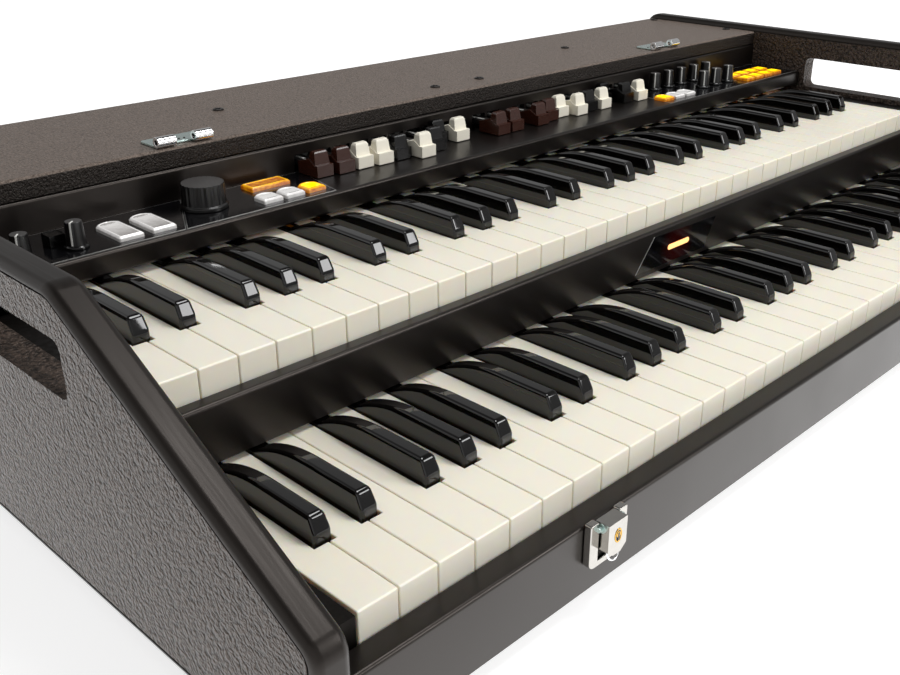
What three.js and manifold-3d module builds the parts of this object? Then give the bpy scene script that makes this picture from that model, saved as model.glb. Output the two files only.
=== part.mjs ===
// A drawbar organ with two manuals in a low wooden case.
// Millimetres. +X is the player's right, +Y is away from the player, +Z is up.
// The origin lies on the ground under the middle of the case.

import * as THREE from 'three';
import { mergeVertices } from 'three/addons/utils/BufferGeometryUtils.js';
import Module from 'manifold-3d';

const wasm = await Module();
wasm.setup();

// Clearances
const seatGap = 0.3; // between two pieces that rest on each other
const runGap = 0.45; // round a piece that slides or turns
const overrun = 5; // how far a cutter goes past what it cuts
const sink = 0.8; // how far a form reaches into the one that it grows from

// Steps of a round form
const roundSides = 14;
const footSides = 10;
const boreSides = 8;
const barrelSides = 12;
const arcSteps = 3;
const fineSteps = 2;

// Keyboards: each manual has five octaves and a last C
const octaveCount = 5;
const whitesPerOctave = 7;
const whiteCount = octaveCount * whitesPerOctave + 1;
const whitePitch = 23.5;
const keyGap = 1;
const blackCentreShares = [0.1297, 0.2989, 0.5517, 0.7143, 0.8769]; // of an octave
const whiteHead = 47.6; // white key in front of the black keys
const visibleKey = 136; // key fronts to the fascia behind them
const whiteThick = 14;
const whiteLip = 20; // height of a key's front
const lipWall = 3;
const whiteEdge = 1.6;
const whiteReach = 200; // key fronts to the hinge strip
const whiteStrip = 6; // depth of the hinge strip
const whiteStripThick = 6;
const blackWidth = 11;
const blackSlot = 13;
const blackTopWidth = 9.2;
const blackRise = 13.6;
const blackPlinth = 4.6; // upright foot of a black key's front
const blackFacet = 4.8; // how far the sloped facet leans back
const blackSink = 7; // black key below the white tops
const blackGripEnd = 92; // from here the top falls away in an arc
const blackTail = 2.4; // height that is left at the fascia
const fallSteps = 2;
const blackStrip = 6;
const stripGap = 2; // between the two hinge strips

// Where the manuals stand
const footHeight = 10;
const boardThick = 12;
const keySetback = 26.5; // case front to the lower key fronts
const keyLevel = 57.3; // case bottom to the lower white tops
const manualSetback = 146;
const manualRise = 52.8;

// Side panels
const caseDepth = 517.5;
const panelThick = 18;
const panelRound = 8; // bullnose of every edge
const endRoom = 22.7; // keys to a side panel
const frontEdgeHeight = 74.2;
const kneeBehindKeys = 7.8; // upper key fronts to the knee of the slope
const toeRadius = 3;
const noseRadius = 12;
const kneeRadius = 30;
const tailRadius = 15;
const slotFront = 4; // upper key fronts to the hand slot
const slotLength = 126.2;
const slotHeight = 30.5;
const slotRise = 4; // upper white tops to the hand slot
const slotRadius = 6;

// Feet under the bottom board
const footRadius = 16;
const footTaper = 3;
const footInset = 55;

// Folded sheets
const sheet = 2;
const bend = 1.4;
const ledgeDrop = 15.6; // white tops to the ledge in front of them
const ledgeGap = 1.2; // ledge to the key fronts
const apronStand = 15.2; // lower key fronts to the apron's face
const fasciaClear = 3.7; // lower white tops to the middle fascia
const lipClear = 4.7; // upper white tops to the control panel's lip
const shelfRise = 19.3; // upper white tops to the control shelf
const hem = 8;
const shelfDepth = 59.5;
const riserHeight = 21.9;
const flangeDepth = 13.5;

// Top cover and rear panel
const coverThick = 13.3;
const coverEdge = 3;
const coverStep = 0.5; // riser to the cover's front
const coverRecess = 5.4; // panel tops to the cover
const coverTail = 6.7; // cover to the rear edge of the side panels
const rearRecess = 9;
const rearThick = 3;

// Key chassis and the cheek blocks beside the keys
const chassisFloor = 3;
const upperFloorDrop = 36; // upper white tops to the chassis underside
const cheekDrop = 1.1; // white tops to the cheek blocks
const cheekGap = 0.8;
const feltFront = 30;
const feltDepth = 8;
const feltDrop = 23;
const railLead = 0.5; // rail in front of the white keys' hinge strip
const railTail = 3; // rail behind the black keys' hinge strip

// Drawbars
const drawbarPitch = 18.2;
const drawbarTravel = 32;
const bankFirst = -184.2; // middle of the case to the first drawbar
const bankGap = 39.4; // last left drawbar to the first in the middle
const pedalGap = 31.8; // last in the middle to the first right drawbar
const leftPullShares = [0.35, 0.43, 0.42, 0.48, 0.48, 0.73, 0.49, 0, 0.19]; // of the travel
const pedalPullShares = [0.48, 0.45];
const rightPullShares = [0.48, 0.34, 0.23, 0.45, 0.36, 0.41, 0, 0.37, 0.46];
const capWidth = 14.6;
const capDepth = 22.5;
const capStand = 15; // cap's front to the riser, pushed in
const capFloat = 0.6; // shelf to the cap's underside
const toeHeight = 8.6;
const toeEdge = 1.2;
const toeLedge = 3.5; // flat in front of the finger
const spineHeight = 12.2; // top of the cap behind the finger
const spineFront = 10;
const heelHeight = 8.8;
const fingerTop = 18;
const fingerBase = 13.2; // width of the finger at its foot
const fingerCrown = 11.8;
const fingerFront = 3.2;
const fingerBack = 11.2;
const fingerLean = 1.2;
const crownDrop = 1.6;
const crownInset = 1.3;
const stemWidth = 12;
const stemThick = 3.5;
const stemLength = 72;
const guideStand = 9; // riser to the drawbar guide
const guideLength = 40;
const guideDrop = 17.1; // height of the guide block
const guideLipThick = 2.4;
const guideEnd = 13; // guide past its outermost drawbar

// Knobs
const shaftRadius = 3;
const shaftLength = 9;
const knobFloat = 0.4;
const knobFlange = 7.2;
const knobFlangeThick = 1.8;
const knobNeck = 5.9;
const knobCrown = 5;
const knobHeight = 16.6;
const knobEdge = 0.6;
const knobPitch = 22.7;
const rearKnobCount = 5;
const frontKnobCount = 3;
const dialSkirt = 15.5;
const dialSkirtThick = 3;
const dialRadius = 14.35;
const dialHeight = 17.1;
const dialEdge = 1;
const dialFlutes = 24;
const fluteDepth = 0.8;

// Buttons and switches
const rowButtons = 3;
const buttonPitch = 18.1;
const buttonWidth = 15.7;
const buttonDepth = 16.5;
const buttonHeight = 3.2;
const buttonCrown = 1.2; // how much the top draws in
const buttonBow = 4; // how far the rear edge of a row's button bows out
const bowSteps = 3;
const buttonGap = 0.35;
const carrierThick = 2;
const carrierEdge = 2.5;
const wideWidth = 32.5;
const wideDepth = 14.5;
const presetPitch = 18.2;
const presetDepth = 13.6;
const presetColumns = 4;
const rockerWidth = 16.7;
const rockerDepth = 34.9;
const rockerHeight = 3;
const rockerBow = 4.8; // how far the rear edge bows out
const rockerEdge = 1.2;
const rockerSink = 3;
const rockerGap = 0.9;
const slideWidth = 10;
const slideDepth = 11;
const slideHeight = 7.6;
const slideEdge = 1;
const slideStem = 4;
const slideTravel = 5;

// Places on the control shelf, as shares of half its length and of its depth
const smallKnobShares = [-0.9271, -0.8542];
const smallKnobDepthShare = 0.32;
const slideShare = -0.8705;
const slideDepthShare = 0.5462;
const rockerShares = [-0.7856, -0.7357];
const rockerDepthShare = 0.4555;
const dialShare = -0.6383;
const dialDepthShare = 0.5714;
const leftButtonShare = -0.5516;
const buttonDepthShare = 0.31;
const wideDepthShare = 0.7689;
const rightButtonShare = 0.4795;
const rearKnobShare = 0.5508;
const rearKnobDepthShare = 0.862;
const frontKnobShare = 0.6527;
const frontKnobDepthShare = 0.4034;
const presetShare = 0.8053;
const presetDepthShares = [0.2563, 0.5336];

// Latches on the apron
const latchFromMiddle = 276.75;
const latchWidth = 29.5;
const latchHeight = 26.5;
const latchThick = 4.5;
const latchRise = 1.6; // latch plate above the ledge
const latchCorner = 4;
const latchHorn = 1;
const latchMouth = 16.2;
const latchMouthDepth = 23;
const haspWidth = 15;
const haspHeight = 19.5;
const haspThick = 8.8;
const haspStand = 1.5; // apron to the hasp's back
const haspDrop = 0.5; // plate top to the hasp's top
const haspCorner = 3.5;
const haspWall = 1.3;
const haspRoof = 7;
const haspPivotDrop = 3; // hasp top to its pivot
const haspPivotStand = 5.5; // apron to the pivot
const trunnionRadius = 1.4;
const trunnionReach = 3;

// Hinge halves on the cover, for a lid that lifts off
const hingeFromMiddle = 276.75;
const leafWidth = 41.6;
const leafDepth = 18;
const leafThick = 1.5;
const leafCorner = 2;
const knuckleRadius = 3.75;
const knuckleBore = 1.75;
const knuckleLength = 13.6;
const knuckleFromFront = 4; // cover front to the hinge axis
const leafBehindAxis = 3;

// Mains inlet and main board
const inletFromEnd = 90;
const inletFromTop = 60;
const inletWidth = 27;
const inletHeight = 20;
const inletFlange = 4;
const inletFlangeThick = 2;
const inletBody = 22; // depth inside the rear panel
const inletWall = 1.6;
const inletWell = 17;
const inletCorner = 5;
const bladeWidth = 2;
const bladeHeight = 4;
const bladeLength = 9;
const bladePitch = 7;
const bladeRise = 2;
const mainBoardWidth = 220;
const mainBoardDepth = 86;
const mainBoardThick = 1.6;
const mainBoardFromRear = 20;
const postHeight = 8;
const postRadius = 3;
const postInset = 6;
const transformerWidth = 52;
const transformerDepth = 44;
const transformerHeight = 36;
const transformerFromEnd = 10;

// Worked out from the sizes above
const keysWidth = whiteCount * whitePitch;
const innerWidth = keysWidth + 2 * endRoom;
const halfInner = innerWidth / 2;
const spanWidth = innerWidth - 2 * seatGap; // what lies between the side panels
const caseFront = -caseDepth / 2;
const caseRear = caseDepth / 2;
const boardTop = footHeight + boardThick;
const lowerY = caseFront + keySetback;
const lowerZ = footHeight + keyLevel;
const upperY = lowerY + manualSetback;
const upperZ = lowerZ + manualRise;
const fasciaY = lowerY + visibleKey;
const lipY = upperY + visibleKey;
const shelfZ = upperZ + shelfRise;
const riserY = lipY + shelfDepth;
const flangeZ = shelfZ + riserHeight;
const capHome = shelfDepth - capStand;
const guideStart = shelfDepth + guideStand;
const coverZ = flangeZ + seatGap;
const coverTop = coverZ + coverThick;
const coverY = riserY + coverStep;
const panelHeight = coverTop + coverRecess - footHeight;
const rearY = caseRear - rearRecess;
const blackReach = whiteReach + whiteStrip + stripGap; // key fronts to the black hinge strip
const railFront = whiteReach - railLead;
const railBack = blackReach + blackStrip + railTail;
const lowerFloorDrop = keyLevel - boardThick - seatGap;
const octaveWidth = whitesPerOctave * whitePitch;
const keysLeft = -keysWidth / 2;

// Colours and surfaces
const texturedBlack = { color: 0x453d39, roughness: 0.75, metalness: 0 };
const satinBlack = { color: 0x2b2624, roughness: 0.4, metalness: 0.3 };
const ivory = { color: 0xefeadd, roughness: 0.3, metalness: 0 };
const glossBlack = { color: 0x0c0b0b, roughness: 0.12, metalness: 0 };
const brownCap = { color: 0x3b201a, roughness: 0.35, metalness: 0 };
const whiteCap = { color: 0xeae5d5, roughness: 0.35, metalness: 0 };
const blackCap = { color: 0x141312, roughness: 0.35, metalness: 0 };
const knobBlack = { color: 0x161515, roughness: 0.5, metalness: 0 };
const clearPlastic = { color: 0xe4e4e2, roughness: 0.2, metalness: 0 };
const amberPlastic = { color: 0xffa81e, roughness: 0.25, metalness: 0 };
const chrome = { color: 0xd6d6d6, roughness: 0.12, metalness: 1 };
const greyMetal = { color: 0x8d8c88, roughness: 0.5, metalness: 0.8 };
const circuitGreen = { color: 0x1f5136, roughness: 0.5, metalness: 0 };

// A closed geometry as a solid that can be joined and cut
function solid(geometry) {
  const bare = geometry.clone();
  bare.deleteAttribute('normal');
  bare.deleteAttribute('uv');
  const welded = mergeVertices(bare);
  const vertProperties = new Float32Array(welded.attributes.position.array);
  const triVerts = new Uint32Array(welded.index.array);
  return new wasm.Manifold(new wasm.Mesh({ numProp: 3, vertProperties, triVerts }));
}

// A named mesh from a solid
function piece(name, body, look) {
  const made = body.getMesh();
  const geometry = new THREE.BufferGeometry();
  geometry.setAttribute('position', new THREE.BufferAttribute(made.vertProperties, 3));
  geometry.setIndex(new THREE.BufferAttribute(made.triVerts, 1));
  geometry.computeVertexNormals();
  const material = new THREE.MeshStandardMaterial({ ...look, flatShading: true });
  const mesh = new THREE.Mesh(geometry, material);
  mesh.name = name;
  return mesh;
}

function joined(bodies) {
  return bodies.reduce((whole, body) => whole.add(body));
}

// The outline's two axes and the way it is swept, for each sweep direction
const sweeps = {
  x: [new THREE.Vector3(0, 1, 0), new THREE.Vector3(0, 0, 1), new THREE.Vector3(1, 0, 0)],
  y: [new THREE.Vector3(1, 0, 0), new THREE.Vector3(0, 0, 1), new THREE.Vector3(0, -1, 0)],
  z: [new THREE.Vector3(1, 0, 0), new THREE.Vector3(0, 1, 0), new THREE.Vector3(0, 0, 1)],
};

// An outline swept along an axis from one place to another, with its rims rounded if asked
function swept(axis, outline, from, to, rim = 0, rimSteps = fineSteps) {
  const points = outline.map(([a, b]) => new THREE.Vector2(a, b));
  const geometry = new THREE.ExtrudeGeometry(new THREE.Shape(points), {
    depth: to - from - 2 * rim,
    bevelEnabled: rim > 0,
    bevelThickness: rim,
    bevelSize: rim,
    bevelSegments: rimSteps,
  });
  const [across, up, along] = sweeps[axis];
  geometry.applyMatrix4(new THREE.Matrix4().makeBasis(across, up, along));
  const start = axis === 'y' ? -(to - rim) : from + rim;
  geometry.translate(along.x * start, along.y * start, along.z * start);
  return solid(geometry);
}

function block(x0, x1, y0, y1, z0, z1) {
  const geometry = new THREE.BoxGeometry(x1 - x0, y1 - y0, z1 - z0);
  geometry.translate((x0 + x1) / 2, (y0 + y1) / 2, (z0 + z1) / 2);
  return solid(geometry);
}

function rod(radius, from, to, sides = boreSides) {
  const geometry = new THREE.CylinderGeometry(radius, radius, to - from, sides);
  geometry.rotateX(Math.PI / 2);
  geometry.translate(0, 0, (from + to) / 2);
  return solid(geometry);
}

// A profile of radius and height pairs turned round the Z axis
function turned(profile, sides = roundSides) {
  const points = profile.map(([radius, height]) => new THREE.Vector2(radius, height));
  const geometry = new THREE.LatheGeometry(points, sides);
  geometry.rotateX(Math.PI / 2);
  return solid(geometry);
}

// An outline with each corner rounded by its own radius
function rounded(corners, radii, steps = arcSteps) {
  const path = [];
  corners.forEach((corner, i) => {
    const tip = new THREE.Vector2(...corner);
    const back = new THREE.Vector2(...corners.at(i - 1)).sub(tip).normalize();
    const ahead = new THREE.Vector2(...corners[(i + 1) % corners.length]).sub(tip).normalize();
    const half = Math.acos(back.dot(ahead)) / 2;
    if (radii[i] === 0) {
      path.push(tip.toArray());
      return;
    }
    const centre = back.clone().add(ahead).setLength(radii[i] / Math.sin(half)).add(tip);
    const start = back.clone().setLength(radii[i] / Math.tan(half)).add(tip);
    const turn = (2 * half - Math.PI) * Math.sign(back.cross(ahead));
    for (let k = 0; k <= steps; k += 1) {
      path.push(start.clone().rotateAround(centre, (turn * k) / steps).toArray());
    }
  });
  return path;
}

// The same corners drawn in by a distance, for a convex outline
function drawnIn(corners, distance) {
  return corners.map((corner, i) => {
    const tip = new THREE.Vector2(...corner);
    const back = new THREE.Vector2(...corners.at(i - 1)).sub(tip).normalize();
    const ahead = new THREE.Vector2(...corners[(i + 1) % corners.length]).sub(tip).normalize();
    const half = Math.acos(back.dot(ahead)) / 2;
    return back.add(ahead).setLength(distance / Math.sin(half)).add(tip).toArray();
  });
}

function rectangle(x0, x1, y0, y1) {
  return [[x0, y0], [x1, y0], [x1, y1], [x0, y1]];
}

// A skin over rings of equal length, closed by a cap at each end.
// Seen from the last ring, each ring runs anticlockwise.
function lofted(rings) {
  const count = rings[0].length;
  const index = [];
  for (let r = 0; r + 1 < rings.length; r += 1) {
    for (let k = 0; k < count; k += 1) {
      const a = r * count + k;
      const b = r * count + ((k + 1) % count);
      index.push(a, b, b + count, a, b + count, a + count);
    }
  }
  const last = (rings.length - 1) * count;
  for (let k = 1; k + 1 < count; k += 1) {
    index.push(0, k + 1, k, last, last + k, last + k + 1);
  }
  const geometry = new THREE.BufferGeometry();
  geometry.setAttribute('position', new THREE.Float32BufferAttribute(rings.flat(2), 3));
  geometry.setIndex(index);
  return solid(geometry);
}

// One manual, seen from the middle of its key fronts at the level of the white tops

function whiteCentre(i) {
  return keysLeft + (i + 1 / 2) * whitePitch;
}

const blackCentres = [];
for (let octave = 0; octave < octaveCount; octave += 1) {
  for (const share of blackCentreShares) {
    blackCentres.push(keysLeft + (octave + share) * octaveWidth);
  }
}

function whiteKeys() {
  const corners = [
    [0, -whiteLip],
    [0, 0],
    [whiteReach, 0],
    [whiteReach, -whiteThick],
    [lipWall, -whiteThick],
    [lipWall, -whiteLip],
  ];
  const profile = rounded(corners, [0, whiteEdge, 0, 0, 0, 0], 1);
  const halfKey = (whitePitch - keyGap) / 2;
  const keys = [];
  for (let i = 0; i < whiteCount; i += 1) {
    keys.push(swept('x', profile, whiteCentre(i) - halfKey, whiteCentre(i) + halfKey));
  }
  const halfSlot = blackSlot / 2;
  const slots = blackCentres.map((x) =>
    block(x - halfSlot, x + halfSlot, whiteHead, whiteReach + overrun, -whiteLip, overrun));
  const half = (keysWidth - keyGap) / 2;
  const stripTop = whiteStripThick - whiteThick;
  const strip = block(-half, half, whiteReach - sink, whiteReach + whiteStrip, -whiteThick, stripTop);
  return joined(keys).subtract(joined(slots)).add(strip);
}

// A section across a black key, at a distance behind the key's front
function blackSection(x, y, top) {
  const foot = blackWidth / 2;
  const draft = (blackWidth - blackTopWidth) / 2 / blackRise;
  const crown = foot - draft * top;
  return [
    [x + foot, y, -blackSink],
    [x - foot, y, -blackSink],
    [x - crown, y, top],
    [x + crown, y, top],
  ];
}

function blackKeys() {
  const front = whiteHead + keyGap;
  const run = visibleKey - blackGripEnd;
  const drop = blackRise - blackTail;
  const fallRadius = (run ** 2 + drop ** 2) / (2 * drop);
  const stations = [
    [front, blackPlinth],
    [front + blackFacet, blackRise],
  ];
  for (let k = 0; k <= fallSteps; k += 1) {
    const gone = (k * run) / fallSteps;
    const sag = fallRadius - Math.sqrt(fallRadius ** 2 - gone ** 2);
    stations.push([blackGripEnd + gone, blackRise - sag]);
  }
  stations.push([blackReach + sink, blackTail]);
  const keys = blackCentres.map((x) => lofted(stations.map(([y, top]) => blackSection(x, y, top))));
  const first = blackCentres[0] - blackWidth / 2;
  const last = blackCentres.at(-1) + blackWidth / 2;
  const strip = block(first, last, blackReach, blackReach + blackStrip, -blackSink, 0);
  return joined(keys).add(strip);
}

// The steel frame under the keys, with its felt rail, hinge rail and cheek blocks
function keyChassis(floorDrop, floorFront) {
  const half = spanWidth / 2;
  const floorTop = chassisFloor - floorDrop;
  const whiteSeat = -whiteThick - seatGap;
  const blackSeat = -blackSink - seatGap;
  const profile = [
    [floorFront, -floorDrop],
    [railBack, -floorDrop],
    [railBack, blackSeat],
    [blackReach, blackSeat],
    [blackReach, whiteSeat],
    [railFront, whiteSeat],
    [railFront, floorTop],
    [feltFront + feltDepth, floorTop],
    [feltFront + feltDepth, -feltDrop],
    [feltFront, -feltDrop],
    [feltFront, floorTop],
    [floorFront, floorTop],
  ];
  const frame = swept('x', profile, -half, half);
  const cheekInner = keysWidth / 2 + cheekGap;
  const cheekBack = visibleKey - seatGap;
  const left = block(-half, -cheekInner, 0, cheekBack, floorTop - sink, -cheekDrop);
  const right = block(cheekInner, half, 0, cheekBack, floorTop - sink, -cheekDrop);
  return frame.add(left).add(right);
}

// Case, in the frame of the whole organ

function sidePanel() {
  const knee = keySetback + manualSetback + kneeBehindKeys;
  const corners = [
    [0, 0],
    [caseDepth, 0],
    [caseDepth, panelHeight],
    [knee, panelHeight],
    [0, frontEdgeHeight],
  ];
  const radii = [toeRadius, toeRadius, tailRadius, kneeRadius, noseRadius];
  const inner = radii.map((radius) => Math.max(radius - panelRound, 0));
  const face = rounded(drawnIn(corners, panelRound), inner);
  const half = panelThick / 2;
  const board = swept('x', face, -half, half, panelRound, arcSteps);
  const y0 = keySetback + manualSetback + slotFront;
  const z0 = keyLevel + manualRise + slotRise;
  const plan = rectangle(y0, y0 + slotLength, z0, z0 + slotHeight);
  const slot = rounded(plan, [slotRadius, slotRadius, slotRadius, slotRadius]);
  return board.subtract(swept('x', slot, -half - overrun, half + overrun));
}

function bottomBoard() {
  const half = spanWidth / 2;
  const front = lowerY - apronStand + sheet + seatGap;
  const feet = [];
  for (const x of [footInset - half, half - footInset]) {
    for (const y of [front + footInset, rearY - footInset]) {
      const foot = turned([
        [0, 0],
        [footRadius - footTaper, 0],
        [footRadius, footTaper],
        [footRadius, footHeight + sink],
        [0, footHeight + sink],
      ], footSides);
      feet.push(foot.translate([x, y, 0]));
    }
  }
  const board = block(-half, half, front, rearY, footHeight, boardTop);
  return board.add(joined(feet));
}

function topCover() {
  const back = caseRear - coverTail;
  const corners = [
    [coverY, coverZ],
    [back, coverZ],
    [back, coverTop],
    [coverY, coverTop],
  ];
  const profile = rounded(corners, [0, 0, coverEdge, coverEdge]);
  return swept('x', profile, -spanWidth / 2, spanWidth / 2);
}

const inletX = inletFromEnd - halfInner;
const inletZ = coverZ - inletFromTop;

function rearPanel() {
  const half = spanWidth / 2;
  const panel = block(-half, half, rearY - rearThick, rearY, boardTop + seatGap, coverZ - seatGap);
  const halfWidth = inletWidth / 2 + seatGap;
  const halfHeight = inletHeight / 2 + seatGap;
  const opening = block(
    inletX - halfWidth, inletX + halfWidth,
    rearY - rearThick - overrun, rearY + overrun,
    inletZ - halfHeight, inletZ + halfHeight);
  return panel.subtract(opening);
}

// The outline of a folded sheet: its outer side, then its inner side one wall further in
function folded(outer, inner, outerRadii, innerRadii) {
  return rounded([...outer, ...inner], [...outerRadii, ...innerRadii], fineSteps);
}

function frontApron() {
  const face = lowerY - apronStand;
  const ledge = lowerZ - ledgeDrop;
  const back = lowerY - ledgeGap;
  const outer = [[face, footHeight], [face, ledge], [back, ledge]];
  const inner = [[back, ledge - sheet], [face + sheet, ledge - sheet], [face + sheet, footHeight]];
  const profile = folded(outer, inner, [0, bend, 0], [0, 0, 0]);
  return swept('x', profile, -spanWidth / 2, spanWidth / 2);
}

function middleFascia() {
  const foot = lowerZ + fasciaClear;
  const ledge = upperZ - ledgeDrop;
  const back = upperY - ledgeGap;
  const outer = [[fasciaY, foot], [fasciaY, ledge], [back, ledge]];
  const inner = [[back, ledge - sheet], [fasciaY + sheet, ledge - sheet], [fasciaY + sheet, foot]];
  const profile = folded(outer, inner, [0, bend, 0], [0, 0, 0]);
  return swept('x', profile, -spanWidth / 2, spanWidth / 2);
}

// Control shelf, seen from the middle of its lip at the level of the shelf

function shelfX(share) {
  return share * halfInner;
}

function shelfY(share) {
  return share * shelfDepth;
}

const drawbars = [];
let drawbarX = bankFirst;
for (const [bank, pulls, gap] of [
  ['left_drawbar', leftPullShares, bankGap],
  ['pedal_drawbar', pedalPullShares, pedalGap],
  ['right_drawbar', rightPullShares, 0],
]) {
  pulls.forEach((pull, i) => {
    drawbars.push({ name: `${bank}_${i + 1}`, x: drawbarX, pull: pull * drawbarTravel });
    drawbarX += drawbarPitch;
  });
  drawbarX += gap - drawbarPitch;
}

const knobs = [];
smallKnobShares.forEach((share, i) => {
  knobs.push({ name: `left_knob_${i + 1}`, x: shelfX(share), y: shelfY(smallKnobDepthShare) });
});
for (let i = 0; i < rearKnobCount; i += 1) {
  const x = shelfX(rearKnobShare) + i * knobPitch;
  knobs.push({ name: `rear_knob_${i + 1}`, x, y: shelfY(rearKnobDepthShare) });
}
for (let i = 0; i < frontKnobCount; i += 1) {
  const x = shelfX(frontKnobShare) + i * knobPitch;
  knobs.push({ name: `front_knob_${i + 1}`, x, y: shelfY(frontKnobDepthShare) });
}
const dial = { x: shelfX(dialShare), y: shelfY(dialDepthShare) };
const rockers = rockerShares.map((share) => ({ x: shelfX(share), y: shelfY(rockerDepthShare) }));
const slide = { x: shelfX(slideShare), y: shelfY(slideDepthShare) };

// The caps of a row of buttons
function buttonRow(first, y, count, pitch, width, depth, bow) {
  const caps = [];
  for (let i = 0; i < count; i += 1) {
    caps.push({ x: first + i * pitch, y, width, depth, bow });
  }
  return caps;
}

// A cap's plan: straight front and sides, and a rear edge that bows out if asked
function capPlan(halfX, halfY, bow) {
  const front = [[-halfX, -halfY], [halfX, -halfY]];
  if (bow === 0) {
    return [...front, [halfX, halfY], [-halfX, halfY]];
  }
  const radius = (halfX ** 2 + bow ** 2) / (2 * bow);
  const spread = Math.asin(halfX / radius);
  const rear = [];
  for (let k = 0; k <= bowSteps; k += 1) {
    const angle = spread * (1 - (2 * k) / bowSteps);
    rear.push([radius * Math.sin(angle), halfY - radius * (1 - Math.cos(angle))]);
  }
  return [...front, ...rear];
}

const rowY = shelfY(buttonDepthShare);
const rowShape = [rowY, rowButtons, buttonPitch, buttonWidth, buttonDepth, buttonBow];
const leftRow = buttonRow(shelfX(leftButtonShare), ...rowShape);
const wideY = shelfY(wideDepthShare);
const wideCap = { x: leftRow[1].x, y: wideY, width: wideWidth, depth: wideDepth, bow: 0 };
const leftCaps = [...leftRow, wideCap];
const rightCaps = buttonRow(shelfX(rightButtonShare), ...rowShape);
const presetCaps = presetDepthShares.flatMap((share) => buttonRow(
  shelfX(presetShare), shelfY(share), presetColumns, presetPitch, buttonWidth, presetDepth, 0));

const flangeUnder = riserHeight - sheet;
const capTop = capFloat + heelHeight; // top of a stem, level with the cap's heel
const slotTop = capFloat + spineHeight;

function controlPanel() {
  const back = shelfDepth + flangeDepth;
  const foot = lipClear - shelfRise;
  const outer = [
    [hem, foot],
    [0, foot],
    [0, 0],
    [shelfDepth, 0],
    [shelfDepth, riserHeight],
    [back, riserHeight],
  ];
  const inner = [
    [back, flangeUnder],
    [shelfDepth + sheet, flangeUnder],
    [shelfDepth + sheet, -sheet],
    [sheet, -sheet],
    [sheet, foot + sheet],
    [hem, foot + sheet],
  ];
  const profile = folded(outer, inner, [0, bend, bend, 0, bend, 0], [0, 0, 0, 0, 0, 0]);
  const panel = swept('x', profile, -spanWidth / 2, spanWidth / 2);
  const cuts = [];
  const floor = -sheet - overrun;
  for (const bar of drawbars) {
    const half = capWidth / 2 + runGap;
    const y0 = shelfDepth - overrun;
    const y1 = shelfDepth + sheet + overrun;
    cuts.push(block(bar.x - half, bar.x + half, y0, y1, capFloat - seatGap, slotTop));
  }
  for (const knob of [...knobs, dial]) {
    cuts.push(rod(shaftRadius + runGap, floor, overrun).translate([knob.x, knob.y, 0]));
  }
  for (const cap of [...leftCaps, ...rightCaps, ...presetCaps]) {
    const plan = capPlan(cap.width / 2 + buttonGap, cap.depth / 2 + buttonGap, cap.bow);
    cuts.push(swept('z', plan, floor, overrun).translate([cap.x, cap.y, 0]));
  }
  for (const place of rockers) {
    const plan = capPlan(rockerWidth / 2 + buttonGap, rockerDepth / 2 + rockerGap, rockerBow);
    cuts.push(swept('z', plan, floor, overrun).translate([place.x, place.y, 0]));
  }
  const halfStem = slideStem / 2 + runGap;
  const slotY = slide.y - halfStem;
  const slotEnd = slide.y + slideTravel + halfStem;
  cuts.push(block(slide.x - halfStem, slide.x + halfStem, slotY, slotEnd, floor, overrun));
  return panel.subtract(joined(cuts));
}

// A drawbar, seen from the foot of its cap's front: cap, finger and flat stem
function drawbar() {
  const half = capWidth / 2;
  const corners = [
    [0, 0],
    [capDepth, 0],
    [capDepth, heelHeight],
    [spineFront, spineHeight],
    [toeLedge, toeHeight],
    [0, toeHeight],
  ];
  const cap = swept('x', rounded(corners, [0, 0, 0, 0, 0, toeEdge], fineSteps), -half, half);
  const ring = (width, front, back, height) => [
    [-width / 2, front, height],
    [width / 2, front, height],
    [width / 2, back, height],
    [-width / 2, back, height],
  ];
  const front = fingerFront + fingerLean;
  const back = fingerBack - fingerLean;
  const crown = fingerCrown - 2 * crownInset;
  const finger = lofted([
    ring(fingerBase, fingerFront, fingerBack, toeHeight - sink),
    ring(fingerCrown, front, back, fingerTop - crownDrop),
    ring(crown, front + crownInset, back - crownInset, fingerTop),
  ]);
  const halfStem = stemWidth / 2;
  const stemEnd = capDepth + stemLength;
  const stemUnder = heelHeight - stemThick;
  const stem = block(-halfStem, halfStem, capDepth - sink, stemEnd, stemUnder, heelHeight);
  return cap.add(finger).add(stem);
}

// The block behind the riser whose channels carry the stems
function drawbarGuide() {
  const top = flangeUnder - seatGap;
  const foot = top - guideDrop;
  const lip = shelfDepth + sheet + seatGap;
  const profile = [
    [guideStart, foot],
    [guideStart + guideLength, foot],
    [guideStart + guideLength, top],
    [lip, top],
    [lip, top - guideLipThick],
    [guideStart, top - guideLipThick],
  ];
  const first = drawbars[0].x - guideEnd;
  const last = drawbars.at(-1).x + guideEnd;
  const body = swept('x', profile, first, last);
  const half = stemWidth / 2 + runGap;
  const y0 = guideStart - overrun;
  const y1 = guideStart + guideLength + overrun;
  const z0 = capTop - stemThick - runGap;
  const channels = drawbars.map((bar) =>
    block(bar.x - half, bar.x + half, y0, y1, z0, capTop + runGap));
  return body.subtract(joined(channels));
}

function smallKnob() {
  return turned([
    [0, -shaftLength],
    [shaftRadius, -shaftLength],
    [shaftRadius, knobFloat],
    [knobFlange, knobFloat],
    [knobFlange, knobFloat + knobFlangeThick],
    [knobNeck, knobFloat + knobFlangeThick + knobEdge],
    [knobCrown, knobHeight - knobEdge],
    [knobCrown - knobEdge, knobHeight],
    [0, knobHeight],
  ]);
}

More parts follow.
